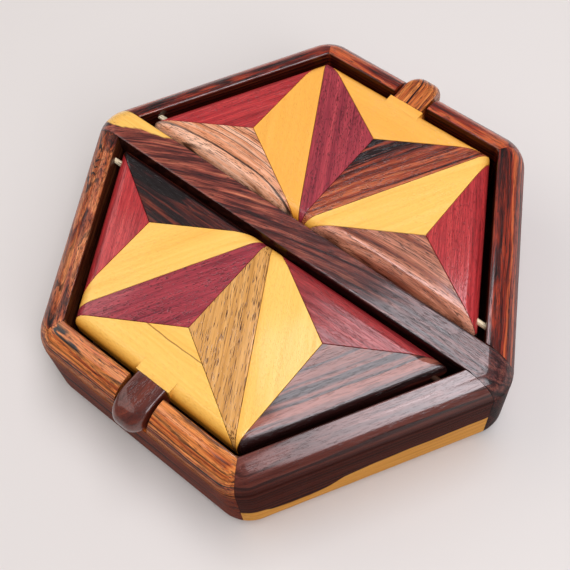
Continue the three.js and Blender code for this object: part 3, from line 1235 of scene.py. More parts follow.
    # The right near wall: dark and well polished, with a band of sapwood along its lower edge
    SAP_BAND_ROSEWOOD = Wood(
        "rosewood_board_with_sapwood",
        "rosewood",
        ((0.0, "#2c1210"), (0.3, "#4a201a"), (0.6, "#6e382e"), (1.0, "#8e5448")),
        ring=1.8,
        pith=(40.0, 19.0),
        waver=1.4,
        streak=0.3,
        contrast=(0.3, 0.7),
        lines=0.5,
        hairs=0.08,
        fibre=0.2,
        pores=Pores(amount=0.3),
        side_coat=0.05,
        # Painted shade on the lower sides and on the faces beside the gaps
        side_shade="#a8785c",
        side_from=(35.0, 39.5),
        thin_coat=(-45.0, 28.0, 0.2),
        coat_ior=1.85,
        shade_axis=2,
        sapwood=Sapwood(
            (
                (-50, 14.8),
                (-42, 14.2),
                (-35, 11.2),
                (-23, 11.3),
                (-11.5, 16.0),
                (-1.8, 17.6),
                (9.7, 18.1),
                (22, 18.3),
                (38, 18.7),
                (46, 18.9),
            ),
            stops=((0.0, "#b8782c"), (0.45, "#d49440"), (1.0, "#e6ac55")),
            below=True,
        ),
    )


# Pieces of the case


def dress(piece: bpy.types.Object, wood: Wood, body: str, *nodes: str) -> bpy.types.Object:
    """Gives a piece its wood and its body, and hides the CAD nodes that it stands for.

    Args:
        piece: The finished piece.
        wood: Its wood and surface.
        body: The body that it rides on.
        nodes: The CAD nodes that it replaces.

    Returns:
        The piece.
    """
    piece.data.materials.clear()
    piece.data.materials.append(wood.material())
    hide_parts(*nodes)
    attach(piece, body)
    log.info("%s: %s, %d faces", piece.name, wood.name, len(piece.data.polygons))
    return piece


@dataclass
class Walls:
    """Six boards mitred to each other, with a rounded top, bottom and outer corners."""

    case: CaseSizes
    hinge: HingeSizes
    names: tuple[str, ...] = ("right_far", "far", "left_far", "left_near", "near", "right_near")
    woods: dict[str, Wood] = field(
        default_factory=lambda: {
            "near": Woods.ORANGE_ROSEWOOD.value,
            "left_near": Woods.ASKEW_ROSEWOOD.value,
            "right_near": Woods.SAP_BAND_ROSEWOOD.value,
        }
    )
    arc_steps: int = 10
    run_steps: int = 12
    notch_steps: int = 4
    round_points: int = 15
    arris_points: int = 4
    least_round: float = 0.05
    plank_step: float = 150.0

    def profile(self) -> tuple[np.ndarray, np.ndarray]:
        """Cross-section of a board, once round.

        It climbs the outside by its lower and upper quarter rounds, turns over the small inner
        arris, and comes down the inside past the groove that holds the bottom board.

        Returns:
            Insets from the board's outside, and heights.
        """
        c = self.case
        turn = np.radians(np.linspace(0, 90, self.round_points))
        z_low = c.bottom_round * (1 - np.cos(turn))
        z_high = c.height - c.top_round * (1 - np.sin(turn))
        outside = np.concatenate([z_low, [c.notch_floor], z_high])
        outside.sort()
        flat_edge = [(c.wall - c.arris, c.height)]
        small = np.radians(np.linspace(22.5, 90, self.arris_points))
        over_inset = c.wall - c.arris * (1 - np.sin(small))
        over = np.stack([over_inset, c.height - c.arris * (1 - np.cos(small))], axis=-1)
        groove = c.wall - c.groove_depth
        inside = [
            (c.wall, c.notch_floor),
            (c.wall, c.panel_top),
            (groove, c.panel_top),
            (groove, c.panel_bottom),
            (c.wall, c.panel_bottom),
            (c.wall, 0.0),
        ]
        loop = np.concatenate(
            [np.stack([c.round_inset(outside), outside], axis=-1), flat_edge, over, inside]
        )
        return loop[:, 0], loop[:, 1]

    def end(self, angle: float, sign: int, inset: np.ndarray) -> np.ndarray:
        """Plan points round one end of a board.

        At a mitre they run round half of the outer corner: q + r (cos a, sin a), with q the
        corner's centre. Beside the bar they stop at the bar's face. Where the round is too small
        to meet that face, they slide along the board to it.

        Args:
            angle: Which way the board looks out, in degrees.
            sign: 1 for its anticlockwise end, -1 for the other.
            inset: Insets from the full outline.

        Returns:
            Points as insets x steps x 2.
        """
        c = self.case
        other = angle + 60 * sign
        n1, n2 = unit(angle), unit(other)
        r = np.maximum(c.corner_round - inset, self.least_round)
        out = c.wall - inset - r
        q = crossing(n1, c.inner_face(angle) + out, n2, c.inner_face(other) + out)
        t = np.array([-n1[1], n1[0]]) * sign
        beside_bar = abs((angle + 30 * sign) % 180) < 1
        face = c.half_bar + c.joint_gap
        least = np.degrees(np.arcsin(np.minimum(face / r, 0.5))) if beside_bar else 0 * r
        turn = (30 - least)[:, None] * np.linspace(0, 1, self.arc_steps)
        points = q[:, None] + r[:, None, None] * unit(angle + sign * turn)
        if not beside_bar:
            return points - t * c.joint_gap / 2 / SIN60
        side = math.copysign(1, n1[1])
        slide = (points[..., 1] * side - face) / (-t[1] * side)
        slide = np.where(least[:, None] >= 30 - 1e-6, slide, 0.0)
        return points + slide[..., None] * t

    def rings(self, angle: float) -> np.ndarray:
        """The board's surface: the profile, carried straight from one end to the other.

        Over the notch for a tongue, the columns' heights stop at the notch's floor.

        Args:
            angle: Which way the board looks out, in degrees.

        Returns:
            Points as columns along the board x profile x 3.
        """
        c = self.case
        inset, z = self.profile()
        first = self.end(angle, -1, inset)[:, ::-1]
        last = self.end(angle, 1, inset)
        a, b = first[:, -1], last[:, 0]
        zeros, ones = np.zeros(len(z)), np.ones(len(z))
        if angle % 180 == 90:
            edges = np.sign(b[0, 0] - a[0, 0]) * np.array([-c.notch_half, c.notch_half])
            left, right = ((edges[None, :] - a[:, :1]) / (b[:, :1] - a[:, :1])).T
            stops = [
                np.linspace(zeros, left, self.run_steps, axis=1)[:, 1:],
                np.linspace(left, right, self.notch_steps, axis=1),
                np.linspace(right, ones, self.run_steps, axis=1)[:, :-1],
            ]
            low = self.run_steps - 1 + np.arange(self.notch_steps) + self.arc_steps
        else:
            stops = [np.linspace(zeros, ones, 2 * self.run_steps, axis=1)[:, 1:-1]]
            low = np.array([], int)
        share = np.concatenate(stops, axis=1)
        run = a[:, None] + (b - a)[:, None] * share[..., None]
        plan = np.concatenate([first, run, last], axis=1)
        height = np.broadcast_to(z[:, None], plan.shape[:2]).copy()
        height[:, low] = np.minimum(height[:, low], c.notch_floor)
        return np.concatenate([plan, height[..., None]], axis=-1).transpose(1, 0, 2)

    def build(self) -> None:
        """Makes and dresses the six boards."""
        for i, name in enumerate(self.names):
            angle = 30.0 + 60 * i
            n = unit(angle)
            along = (-n[1], n[0], 0.0)
            # Each board comes from its own stretch of one long plank
            stretch = self.plank_step * (len(self.names) - 1 - i)
            shift = (stretch, 0.0, -self.case.inner_face(angle))
            grain = Grain(along, (n[0], n[1], 0.0), shift=shift)
            solid = Solid.from_rings(self.rings(angle))
            slanted = angle % 180 != 90
            bores = [pin_hole(self.case, self.hinge, n[0], n[1])] if slanted else []
            piece = solid.build(f"{name}_wall_board", grain, bores)
            dress(piece, self.woods.get(name, Woods.ROSEWOOD.value), "case", f"{name}_wall")


def hinge_line(case: CaseSizes, hinge: HingeSizes) -> tuple[float, float]:
    """Height of the hinge axes and how far they lie from the box's middle plane."""
    return case.height - hinge.depth, case.half_bar + hinge.setback


def pin_ends(case: CaseSizes, hinge: HingeSizes, lid: LidSizes = LidSizes()) -> tuple[float, float]:
    """Where a pin starts in the lid and ends in the wall.

    Args:
        case: Sizes of the case.
        hinge: Sizes of the pins.
        lid: Sizes of the lids.

    Returns:
        Distances of both from the middle of the box, along the bar.
    """
    wall = (case.slant - hinge_line(case, hinge)[1] / 2) / SIN60
    return wall - lid.wall_gap / SIN60 - hinge.in_lid, wall + hinge.in_wall


def pin_hole(case: CaseSizes, hinge: HingeSizes, x_side: float, y_side: float) -> Bore:
    """The hole of the pin on one side of one lid, a little longer than the pin.

    Args:
        case: Sizes of the case.
        hinge: Sizes of the pins.
        x_side: Below 0 for the left side of the box.
        y_side: Below 0 for the near lid.

    Returns:
        The hole.
    """
    z, y = hinge_line(case, hinge)
    inner, outer = pin_ends(case, hinge)
    sx, sy = math.copysign(1, x_side), math.copysign(1, y_side)
    start, end = sx * (inner - hinge.end_room), sx * (outer + hinge.end_room)
    return Bore(start, end, sy * y, z, hinge.hole_diameter)


@dataclass
class CentreBar:
    """The board that runs right through two corners, with its end grain outside."""

    case: CaseSizes
    steps: int = 18
    round_points: int = 25
    arris_points: int = 5
    cap: tuple[float, float, float] = (0.99, 0.9, 1.0)

    def rings(self) -> np.ndarray:
        """Sections of the bar from bottom to top, each closed round its two ends.

        A section's end is x = xq + sqrt(r^2 - y^2) within the rounded corner and the slanted line
        x = (d - |y| / 2) / sin 60 beside it; d and r shrink with the rounds above and below. The
        flat faces start from a loop drawn in a little inside the last section.

        Returns:
            Points as sections x loop x 3.
        """
        c = self.case
        turn = np.radians(np.linspace(0, 90, self.round_points))
        small = np.radians(np.linspace(0, 90, self.arris_points))
        levels = [
            c.bottom_round * (1 - np.cos(turn)),
            c.height - c.top_round * (1 - np.sin(turn)),
            c.height - c.arris * (1 - np.sin(small)),
            c.arris * (1 - np.sin(small)),
        ]
        z = np.unique(np.round(np.concatenate(levels), 4))
        inset = c.round_inset(z)
        near_end = np.maximum(np.maximum(z - (c.height - c.arris), c.arris - z), 0)
        half = c.half_bar - c.arris + np.sqrt(np.maximum(c.arris**2 - near_end**2, 0))
        y = half[:, None] * np.sin(np.radians(np.linspace(-90, 90, self.steps)))
        d = (c.slant + c.wall - inset)[:, None]
        r = (c.corner_round - inset)[:, None]
        round_end = (d - r) / SIN60 + np.sqrt(np.maximum(r**2 - y**2, 0))
        x = np.where(np.abs(y) < r / 2, round_end, (d - np.abs(y) / 2) / SIN60)
        loop_x, loop_y = np.concatenate([x, -x[:, ::-1]], 1), np.concatenate([y, y[:, ::-1]], 1)
        level = np.stack([loop_x, loop_y, np.broadcast_to(z[:, None], loop_x.shape)], -1)
        return np.concatenate([level[:1] * self.cap, level, level[-1:] * self.cap])

    def build(self) -> None:
        """Makes and dresses the bar."""
        grain = Grain((1.0, 0.0, 0.0), (0.0, 0.0, 1.0), (0.0, 0.0, self.case.height))
        piece = Solid.from_rings(self.rings()).build("centre_bar_board", grain)
        dress(piece, Woods.BAR_ROSEWOOD.value, "case", "centre_bar")


@dataclass
class HingePins:
    """Four turned dowels, chamfered at their ends, that the lids swing on."""

    case: CaseSizes
    hinge: HingeSizes
    chamfer: float = 0.3

    def build(self) -> None:
        """Makes and dresses the pins."""
        z, y = hinge_line(self.case, self.hinge)
        inner, outer = pin_ends(self.case, self.hinge)
        for side, sy in (("near", -1), ("far", 1)):
            for end, sx in (("left", -1), ("right", 1)):
                pin = Bore(sx * inner, sx * outer, sy * y, z, self.hinge.pin_diameter)
                solid = pin.rod(self.hinge.pin_diameter / 2, self.chamfer)
                # Each pin is cut from its own spot of one dowel
                grain = Grain(origin=(0.0, sy * y, z), shift=(31.0 * sx, 17.0 * sy, 0.0))
                piece = solid.build(f"{side}_{end}_pin_dowel", grain)
                wood = Woods.DARK_DOWEL if (side, end) == ("near", "right") else Woods.DOWEL
                dress(piece, wood.value, "case", f"{side}_{end}_hinge_pin")


# Lids


@dataclass
class Lid:
    """A half star of nine triangles glued edge to edge, with its upper edge rounded over.

    It is worked out in its own frame: X along the hinge axis, Y towards the tongue, Z up. The hub,
    where the star's points meet, lies hub_inset in from the bar's face (under the bar) and
    hub_shift beside the middle. The middle outer piece's rays start land_depth in from its edge.
    """

    side: str
    case: CaseSizes
    hinge: HingeSizes
    sizes: LidSizes
    hub_inset: float
    hub_shift: float
    woods: dict[str, Wood]
    tongue: "Tongue"
    edge_steps: int = 14
    side_steps: int = 6
    corner_planes: int = 8
    relief_cuts: int = 4
    side_aims: int = 24
    land_depth: float = 8.0
    pinned: tuple[str, ...] = ("left_outer", "left_inner", "right_outer", "right_inner")

    @property
    def near(self) -> bool:
        """True for the lid on the near side of the bar, which is turned half round."""
        return self.side == "near"

    def placed(self, points: np.ndarray) -> np.ndarray:
        """Points of the lid's frame in the frame of the model.

        Args:
            points: Points with the last axis x, y and z.

        Returns:
            The points there.
        """
        z, y = hinge_line(self.case, self.hinge)
        sign = -1 if self.near else 1
        return points * [sign, sign, 1] + [0, sign * y, z]

    def own_name(self, name: str) -> str:
        """The piece's name in the lid's own frame, where left and right change places when turned.

        Args:
            name: Its name as seen in the box.

        Returns:
            Its name in the lid's frame.
        """
        if not self.near:
            return name
        return name.replace("left", "?").replace("right", "left").replace("?", "right")

    @property
    def edge(self) -> float:
        """Distance of the lid's outer edge from the hinge axis."""
        return self.case.flat - self.sizes.wall_gap - hinge_line(self.case, self.hinge)[1]

    def outlines(self) -> dict[str, tuple[np.ndarray, np.ndarray]]:
        """Outlines of the nine pieces, drawn larger than the lid where they reach its edge.

        The fibres run along the side of the big triangle that the piece lies on.

        Returns:
            Each piece's corners, anticlockwise, and the direction of its grain.
        """
        _, y = hinge_line(self.case, self.hinge)
        hub = np.array([self.hub_shift, self.case.half_bar - self.hub_inset - y])
        corners = [hub + self.sizes.star_side * unit(a) for a in (180, 120, 60, 0)]
        margin = self.case.inner_side / 2
        grown = [p + (p - hub) / self.sizes.star_side * margin for p in corners]
        down = np.array([0.0, -margin])
        found = {}
        for i, place in enumerate(("left", "middle", "right")):
            a, b = corners[i], corners[i + 1]
            meet = (hub + a + b) / 3
            found[f"{place}_outer"] = ([meet, b, grown[i + 1], grown[i], a], b - a)
            of_a, of_b = ([meet, a, hub], a - hub), ([meet, hub, b], b - hub)
            if place == "left":
                found["left_inner"] = ([meet, a, a + down, hub + down, hub], a - hub)
                found["left_ray"] = of_b
            elif place == "middle":
                found["middle_left_ray"], found["middle_right_ray"] = of_a, of_b
            else:
                found["right_ray"] = of_a
                found["right_inner"] = ([meet, hub, hub + down, b + down, b], b - hub)
        return {name: (np.array(points), way) for name, (points, way) in found.items()}

    def heights(self) -> tuple[np.ndarray, np.ndarray, np.ndarray]:
        """Levels of a piece from the bottom up.

        Returns:
            Their heights, how far the rounded edge lies in at each, and the seams' chamfer there.
        """
        s = self.sizes
        top = self.hinge.depth
        turn = np.radians(np.linspace(0, 90, self.edge_steps))
        upright = np.linspace(top - s.thickness, top - s.edge_round, self.side_steps + 1)[:-1]
        z = np.concatenate([upright, top - s.edge_round * (1 - np.sin(turn)), [top]])
        up = np.clip(z - (top - s.edge_round), 0, s.edge_round)
        inset = s.edge_round - np.sqrt(s.edge_round**2 - up**2)
        inset[-1] += s.cap_inset
        chamfer = np.clip(z - (top - s.seam_chamfer), 0, None)
        chamfer[-1] += s.cap_inset
        return z, inset, chamfer

    def limits(self, z: np.ndarray, inset: np.ndarray) -> tuple[np.ndarray, np.ndarray]:
        """The lid's outline at each level as half planes n.p <= d.

        They are its four edges, tangents round its corners, and its tips' relief.

        Args:
            z: The levels' heights.
            inset: How far the rounded edge lies in at each.

        Returns:
            Normals as levels x planes x 2, and distances as levels x planes.
        """
        c, s = self.case, self.sizes
        _, hinge_y = hinge_line(c, self.hinge)
        angles = np.array([30.0, 90.0, 150.0, 270.0])
        distances = np.array([c.slant, c.flat, c.slant, -(c.half_bar + s.bar_gap)])
        distances = distances - [s.wall_gap, s.wall_gap, s.wall_gap, 0]
        distances = distances - hinge_y * np.sin(np.radians(angles))
        inner = distances - s.corner_round
        normals, offsets = [], []
        for i, angle in enumerate(angles):
            following = (i + 1) % len(angles)
            q = crossing(unit(angle), inner[i], unit(angles[following]), inner[following])
            last = angle + (angles[following] - angle) % 360
            n = unit(np.linspace(angle, last, self.corner_planes + 1)[:-1])
            normals.append(n)
            offsets.append(n @ q + s.corner_round)
        n = np.concatenate(normals)
        n = np.broadcast_to(n, (len(z), *n.shape))
        d = np.concatenate(offsets)[None, :] - inset[:, None]
        cut_n, cut_d = self.relief(z)
        return np.concatenate([n, cut_n], 1), np.concatenate([d, cut_d], 1)

    def relief(self, z: np.ndarray) -> tuple[np.ndarray, np.ndarray]:
        """Half planes that the tips are cut back to underneath, to pass the walls on the way up.

        At an opening a, a slanted wall's face stands at s x + y cos a / 2 = r + z sin a / 2 in the
        turning lid, with s the sine of 60 degrees and r the wall's distance.

        Args:
            z: The levels' heights.

        Returns:
            Normals as levels x planes x 2, and distances as levels x planes.
        """
        h, cuts = self.hinge, self.relief_cuts
        opening = np.radians(h.open_angle * np.arange(1, cuts + 1) / cuts)
        reach = self.case.slant - hinge_line(self.case, h)[1] / 2 - h.tip_clearance
        across = 0.5 * np.cos(opening)
        ends = [np.stack([np.full(cuts, end * SIN60), across], -1) for end in (-1, 1)]
        n = np.concatenate(ends)
        d = reach + 0.5 * np.sin(opening) * z[:, None]
        return np.broadcast_to(n, (len(z), *n.shape)), np.concatenate([d, d], 1)

    def seams(self, outline: np.ndarray, chamfer: np.ndarray) -> tuple[np.ndarray, np.ndarray]:
        """Half planes n.p <= d along a piece's seams, with the chamfer at its upper edge.

        Args:
            outline: The piece's corners.
            chamfer: How far the chamfer lies in at each level.

        Returns:
            Normals as levels x seams x 2, and distances as levels x seams.
        """
        along = np.roll(outline, -1, 0) - outline
        n = np.stack([along[:, 1], -along[:, 0]], -1)
        n /= np.linalg.norm(n, axis=1)[:, None]
        d = (n * outline).sum(1)[None] - self.sizes.seam - chamfer[:, None]
        return np.broadcast_to(n, (len(chamfer), *n.shape)), d

    def land_targets(self, inset: np.ndarray) -> np.ndarray:
        """Where the rounded edge stops beside the tongue, level by level, and the land's corners.

        Args:
            inset: How far the rounded edge lies in at each level.

        Returns:
            Points as n x 2.
        """
        half = self.sizes.land_half
        step = np.stack([np.full(len(inset), half), self.edge - inset], -1)
        return np.concatenate([step, step * [-1, 1], [[half, self.edge], [-half, self.edge]]])

    def over_land(
        self,
        centre: np.ndarray,
        rays: np.ndarray,
        inset: np.ndarray,
        planes: tuple[np.ndarray, np.ndarray],
        reach: np.ndarray,
    ) -> np.ndarray:
        """Ray lengths where the upper edge stays square beside the tongue.

        A ray that would meet the rounded edge within the land goes on to the strip x = +-land_half,
        y = edge, or to another half plane if that is nearer.

        Args:
            centre: Where the rays start.
            rays: Their unit vectors.
            inset: How far the rounded edge lies in at each level.
            planes: The normals and distances of the piece's half planes.
            reach: The rays' lengths with the edge rounded all along.

        Returns:
            The new lengths, as levels x rays.
        """
        s, (n, d) = self.sizes, planes
        others = np.ones(n.shape[1], bool)
        # The outer edge is the second, with the planes round the corner after it
        others[self.corner_planes : 2 * self.corner_planes] = False
        free = ray_lengths(centre, rays, n[:, others], d[:, others])
        drawn_in = (inset[-1] - s.edge_round) * (inset[:, None] > s.edge_round)
        with np.errstate(divide="ignore", invalid="ignore"):
            at_edge = (self.edge - inset[:, None] - centre[1]) / rays[:, 1]
            to_front = (self.edge - drawn_in - centre[1]) / rays[:, 1]
            strip = np.minimum(to_front, s.land_half / np.abs(rays[:, 0]))
        on_land = (rays[:, 1] > 0) & (np.abs(at_edge * rays[:, 0]) < s.land_half)
        return np.where(on_land, np.minimum(strip, free), reach)

    def piece_rings(self, outline: np.ndarray, at_tongue: bool) -> np.ndarray:
        """A piece's surface, from rays that leave one point inside it.

        Each ray ends where it first meets a half plane of its level: r = min((d - n.c) / (n.u)).

        Args:
            outline: The piece's corners.
            at_tongue: True where the rounded edge stops short of the tongue.

        Returns:
            Points as levels x rays x 3.
        """
        z, inset, chamfer = self.heights()
        lid_n, lid_d = self.limits(z, inset)
        seam_n, seam_d = self.seams(outline, chamfer)
        n, d = np.concatenate([lid_n, seam_n], 1), np.concatenate([lid_d, seam_d], 1)
        corners = [level_corners(n[k], d[k]) for k in range(len(z))]
        centre = corners[-1].mean(0)
        targets = np.concatenate(corners)
        if at_tongue:
            centre = np.array([0.0, self.edge - self.land_depth])
            targets = np.concatenate([targets, self.land_targets(inset)])
        outer = corners[0]
        share = np.linspace(0, 1, self.side_aims)[:, None]
        spread = [a + (b - a) * share for a, b in zip(outer, np.roll(outer, -1, 0))]
        aims = np.concatenate([targets, *spread]) - centre
        angles = np.unique(np.round(np.arctan2(aims[:, 1], aims[:, 0]), 6))
        rays = np.stack([np.cos(angles), np.sin(angles)], -1)
        reach = ray_lengths(centre, rays, n, d)
        if at_tongue:
            reach = self.over_land(centre, rays, inset, (n, d), reach)
        plan = centre + reach[..., None] * rays
        return np.concatenate([plan, np.broadcast_to(z[:, None, None], (*plan.shape[:2], 1))], -1)

    def build(self) -> None:
        """Makes and dresses the nine pieces and the tongue."""
        outlines = self.outlines()
        sign = -1 if self.near else 1
        for k, (name, wood) in enumerate(self.woods.items()):
            outline, way = outlines[self.own_name(name)]
            rings = self.piece_rings(outline, name == "middle_outer")
            solid = Solid.from_rings(self.placed(rings))
            meeting = self.placed(np.array([*outline[0], self.hinge.depth]))
            # Each piece comes from its own spot of a board: up to 23 mm aside and 6 mm deeper each
            shift = (0.0, 23.0 * math.sin(7.0 * k + len(self.side)), -6.0 * k)
            grain = Grain((sign * way[0], sign * way[1], 0.0), origin=tuple(meeting), shift=shift)
            bores = []
            if name in self.pinned:
                bores = [pin_hole(self.case, self.hinge, -1 if "left" in name else 1, sign)]
            piece = solid.build(f"{self.side}_{name}_inlay", grain, bores)
            dress(piece, wood, f"{self.side}_lid", f"{self.side}_{name}")
        self.tongue.build(self)


def level_corners(n: np.ndarray, d: np.ndarray) -> np.ndarray:
    """Corners of the convex outline that half planes n.p <= d enclose.

    Every two of their edges cross at a point, and it is a corner if it lies within all the others.

    Args:
        n: Normals, as planes x 2.
        d: Distances of the planes.

    Returns:
        The corners, anticlockwise, as n x 2.
    """
    i, j = np.triu_indices(len(d), 1)
    det = n[i, 0] * n[j, 1] - n[i, 1] * n[j, 0]
    keep = np.abs(det) > 1e-6
    i, j, det = i[keep], j[keep], det[keep]
    x = (d[i] * n[j, 1] - d[j] * n[i, 1]) / det
    y = (n[i, 0] * d[j] - n[j, 0] * d[i]) / det
    points = np.stack([x, y], -1)
    inside = (points @ n.T <= d + 1e-6).all(1)
    points = points[inside]
    middle = points.mean(0)
    order = np.argsort(np.arctan2(points[:, 1] - middle[1], points[:, 0] - middle[0]))
    return points[order]


def ray_lengths(centre: np.ndarray, rays: np.ndarray, n: np.ndarray, d: np.ndarray) -> np.ndarray:
    """Distance along each ray to the nearest half plane of each level.

    Args:
        centre: Where the rays start.
        rays: Their unit vectors, as rays x 2.
        n: Normals, as levels x planes x 2.
        d: Distances of the planes, as levels x planes.

    Returns:
        The distances, as levels x rays.
    """
    slope = n @ rays.T
    room = (d - n @ centre)[..., None]
    return np.where(slope > 1e-9, room / np.maximum(slope, 1e-9), np.inf).min(1)


@dataclass
class Tongue:
    """Finger tongue: a block glued to the lid's outer edge, rounded over its end and sides."""

    wood: Wood
    width: float = 12.2
    thickness: float = 8.5
    reach: float = 3.6
    drop: float = 8.0
    under_round: float = 2.2
    end_round: float = 4.4
    arris: float = 0.7
    gap: float = 0.1
    round_points: int = 15
    corner_points: int = 12
    cap_centre: float = 4.0
    cap_share: float = 0.9

    def rings(self, lid: Lid) -> np.ndarray:
        """Sections from bottom to top: a rectangle with two rounded corners at its far end.

        The end follows a quarter ellipse above and a small round below, and the sides draw in by a
        small round at the top. The flat faces start from a loop drawn in towards the block's
        middle.

        Args:
            lid: The lid that it is glued to.

        Returns:
            Points as sections x loop x 3, in the lid's frame.
        """
        _, hinge_y = hinge_line(lid.case, lid.hinge)
        top = lid.hinge.depth
        start = lid.edge + self.gap
        end = lid.case.flat + lid.case.wall + self.reach - hinge_y
        nose = top - self.thickness + self.under_round
        turn = np.radians(np.linspace(0, 90, self.round_points))
        low = nose - self.under_round * np.cos(turn)
        z = np.concatenate([low, nose + (top - nose) * np.sin(turn[1:])])
        y_low = end - self.under_round * (1 - np.sin(turn))
        tip = np.concatenate([y_low, end - self.drop * (1 - np.cos(turn[1:]))])
        up = np.clip(z - (top - self.arris), 0, self.arris)
        half = self.width / 2 - self.arris + np.sqrt(np.maximum(self.arris**2 - up**2, 0))
        corner = np.radians(np.linspace(0, 90, self.corner_points))
        x = half[:, None] - self.end_round * (1 - np.cos(corner))
        y = tip[:, None] - self.end_round * (1 - np.sin(corner))
        heel = np.full((len(z), 1), start)
        loop_x = np.concatenate([half[:, None], x, -x[:, ::-1], -half[:, None]], 1)
        loop_y = np.concatenate([heel, y, y[:, ::-1], heel], 1)
        level = np.stack([loop_x, loop_y, np.broadcast_to(z[:, None], loop_x.shape)], -1)
        middle = np.array([0.0, start + self.cap_centre, 0.0])
        drawn_in = [self.cap_share, self.cap_share, 1]
        foot = (level[:1] - middle) * drawn_in + middle
        cap = (level[-1:] - middle) * drawn_in + middle
        return np.concatenate([foot, level, cap])

    def build(self, lid: Lid) -> None:
        """Makes and dresses the tongue of a lid.

        Args:
            lid: The lid that it is glued to.
        """
        solid = Solid.from_rings(lid.placed(self.rings(lid)))
        # The two blocks come from different stretches of a plank
        grain = Grain((0.0, 1.0, 0.0), shift=(60.0 if lid.near else 190.0, 9.0, 0.0))
        piece = solid.build(f"{lid.side}_tongue_block", grain)
        dress(piece, self.wood, f"{lid.side}_lid", f"{lid.side}_tongue")


def lids(case: CaseSizes, hinge: HingeSizes) -> list[Lid]:
    """Both lids with the woods of their pieces.

    Args:
        case: Sizes of the case.
        hinge: Sizes of the pins.

    Returns:
        The near lid and the far one.
    """
    w = Woods
    near = {
        "left_outer": w.RED,
        "left_inner": w.DARK_ROSEWOOD,
        "left_ray": w.YELLOW,
        "middle_left_ray": w.PURPLE,
        "middle_outer": w.YELLOW_LINED,
        "middle_right_ray": w.TAN,
        "right_ray": w.YELLOW,
        "right_outer": w.STREAKED_ROSEWOOD,
        "right_inner": w.DEEP_RED,
    }
    far = {
        "left_outer": w.RED,
        "left_inner": w.STRIPED_ROSEWOOD,
        "left_ray": w.GOLD,
        "middle_left_ray": w.PURPLE,
        "middle_outer": w.GOLD,
        "middle_right_ray": w.BANDED_ROSEWOOD,
        "right_ray": w.YELLOW,
        "right_outer": w.RED,
        "right_inner": w.ARCHED_ROSEWOOD,
    }
    return [
        Lid(
            side,
            case,
            hinge,
            LidSizes(),
            hub_inset=inset,
            hub_shift=shift,
            woods={name: wood.value for name, wood in woods.items()},
            tongue=Tongue(tongue.value),
        )
        for side, inset, shift, woods, tongue in (
            ("near", 1.85, 3.2, near, w.PLAIN_ROSEWOOD),
            ("far", 0.75, -0.3, far, w.ORANGE_ROSEWOOD),
        )
    ]


# Studio


@dataclass(frozen=True)
class Softbox:
    """A flat soft light. Lengths in metres; radiance is what its face shows, 1 being white."""

    name: str
    place: tuple[float, float, float]
    target: tuple[float, float, float]
    size: tuple[float, float]
    radiance: float
    colour: tuple[float, float, float] = (1.0, 1.0, 1.0)
    roll: float = 0.0

    def build(self) -> None:
        """Makes the light. A face of area A and radiance L gives pi A L watts."""
        lamp = bpy.data.lights.new(self.name, "AREA")
        lamp.shape = "RECTANGLE"
        lamp.size, lamp.size_y = self.size
        lamp.energy = math.pi * self.size[0] * self.size[1] * self.radiance
        lamp.color = self.colour
        light = bpy.data.objects.new(self.name, lamp)
        light.location = self.place
        way = Vector(self.target) - Vector(self.place)
        aim = way.to_track_quat("-Z", "Y") @ Quaternion((0, 0, 1), math.radians(self.roll))
        light.rotation_euler = aim.to_euler()
        bpy.context.scene.collection.objects.link(light)


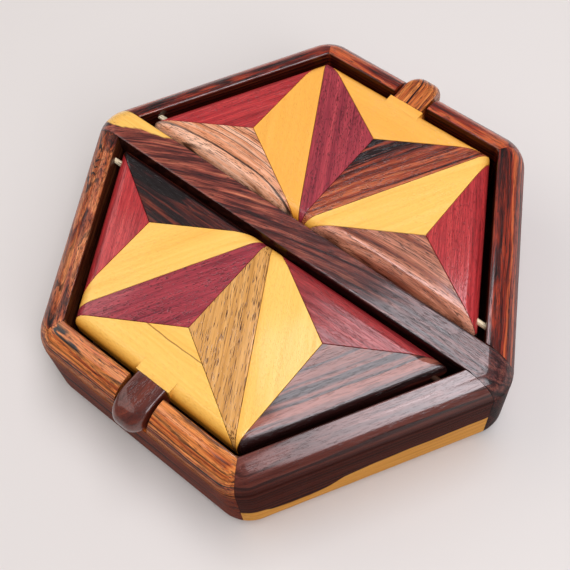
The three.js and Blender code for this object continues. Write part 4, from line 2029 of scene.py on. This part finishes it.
@dataclass(frozen=True)
class Studio:
    """Plain soft studio: pale floor, soft light from above and both sides, even surround."""

    floor_colour: str = "#dedbd5"
    floor_edge: float = 6.0
    surround: float = 0.22
    surround_colour: tuple[float, float, float, float] = (0.95, 0.96, 1.0, 1.0)
    lights: tuple[Softbox, ...] = (
        Softbox(
            "softbox_above",
            place=(0.132, 0.216, 1.1),
            target=(0.132, 0.216, 0.0),
            size=(0.92, 0.5),
            radiance=5.2,
            colour=(0.98, 0.94, 1.0),
            roll=-37.0,
        ),
        Softbox(
            "softbox_right",
            place=(0.765, -0.24, 0.87),
            target=(0.07, -0.03, 0.04),
            size=(0.4, 0.84),
            radiance=5.2,
            colour=(0.98, 0.94, 1.0),
        ),
        Softbox(
            "softbox_left",
            place=(-0.72, -0.25, 0.8),
            target=(0.0, 0.0, 0.0),
            size=(1.0, 0.8),
            radiance=1.3,
            colour=(1.0, 0.91, 0.87),
        ),
    )

    def floor(self) -> None:
        """A wide pale sheet under the box."""
        edge = self.floor_edge
        mesh = bpy.data.meshes.new("studio_floor")
        square = [(-edge, -edge, 0), (edge, -edge, 0), (edge, edge, 0), (-edge, edge, 0)]
        mesh.from_pydata(square, [], [(0, 1, 2, 3)])
        floor = bpy.data.objects.new("studio_floor", mesh)
        bpy.context.scene.collection.objects.link(floor)
        s = Shader("floor_paper_matt")
        inputs = {"Base Color": linear(self.floor_colour), "Roughness": 0.9}
        s.add("OutputMaterial", s.out("BsdfPrincipled", named=inputs))
        mesh.materials.append(s.material)

    def build(self) -> None:
        """Makes floor, surround and lights, and sets the view transform."""
        self.floor()
        scene = bpy.context.scene
        scene.view_settings.view_transform = "Standard"
        world = bpy.data.worlds.new("surround")
        scene.world = world
        world.use_nodes = True
        background = world.node_tree.nodes["Background"]
        background.inputs["Strength"].default_value = self.surround
        background.inputs["Color"].default_value = self.surround_colour
        for light in self.lights:
            light.build()


@dataclass(frozen=True)
class PhotoCamera:
    """Camera of the photo, fitted to the box's corners.

    Args:
        focal: Focal length in pixels of the picture.
        picture: Width of the picture in pixels.
        sensor: Width of the sensor in millimetres.
        turn: Axis of the turn, as long as its angle in radians.
        place: Where the camera stands, in metres.
    """

    focal: float = 957.171
    picture: float = 570.0
    sensor: float = 36.0
    turn: tuple[float, float, float] = (2.53005126, 0.876359574, -0.301522699)
    place: tuple[float, float, float] = (0.120413715, -0.123913297, 0.320946646)

    def build(self) -> None:
        """Makes the camera. The turn is world to camera, with the picture's y down."""
        data = bpy.data.cameras.new("photo_camera")
        data.sensor_width = self.sensor
        data.lens = self.focal / self.picture * self.sensor
        data.clip_start, data.clip_end = 0.01, 20.0
        camera = bpy.data.objects.new("photo_camera", data)
        turn = Vector(self.turn)
        to_camera = Matrix.Rotation(turn.length, 3, turn.normalized())
        axes = to_camera.transposed() @ Matrix.Diagonal((1.0, -1.0, -1.0))
        camera.matrix_world = Matrix.Translation(self.place) @ axes.to_4x4()
        bpy.context.scene.collection.objects.link(camera)
        bpy.context.scene.camera = camera


def corners(box: tuple[Vector, Vector]) -> list[list[float]]:
    """A box's lowest and highest corner as plain lists."""
    return [[float(x) for x in corner] for corner in box]


def main() -> None:
    """Builds and dresses the box, piece by piece, and lights it."""
    logging.basicConfig(level=logging.INFO, format="%(message)s")
    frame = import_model()
    case, hinge = CaseSizes(), HingeSizes()
    Walls(case, hinge).build()
    CentreBar(case).build()
    HingePins(case, hinge).build()
    for lid in lids(case, hinge):
        lid.build()
    for side in ("near", "far"):
        panel = frame["nodes"][f"{side}_bottom_panel"]
        panel.data.materials.clear()
        panel.data.materials.append(Woods.PANEL.value.material())
        log.info("%s: %s, as modelled", panel.name, Woods.PANEL.value.name)
    Studio().build()
    PhotoCamera().build()


if __name__ == "__main__":
    main()
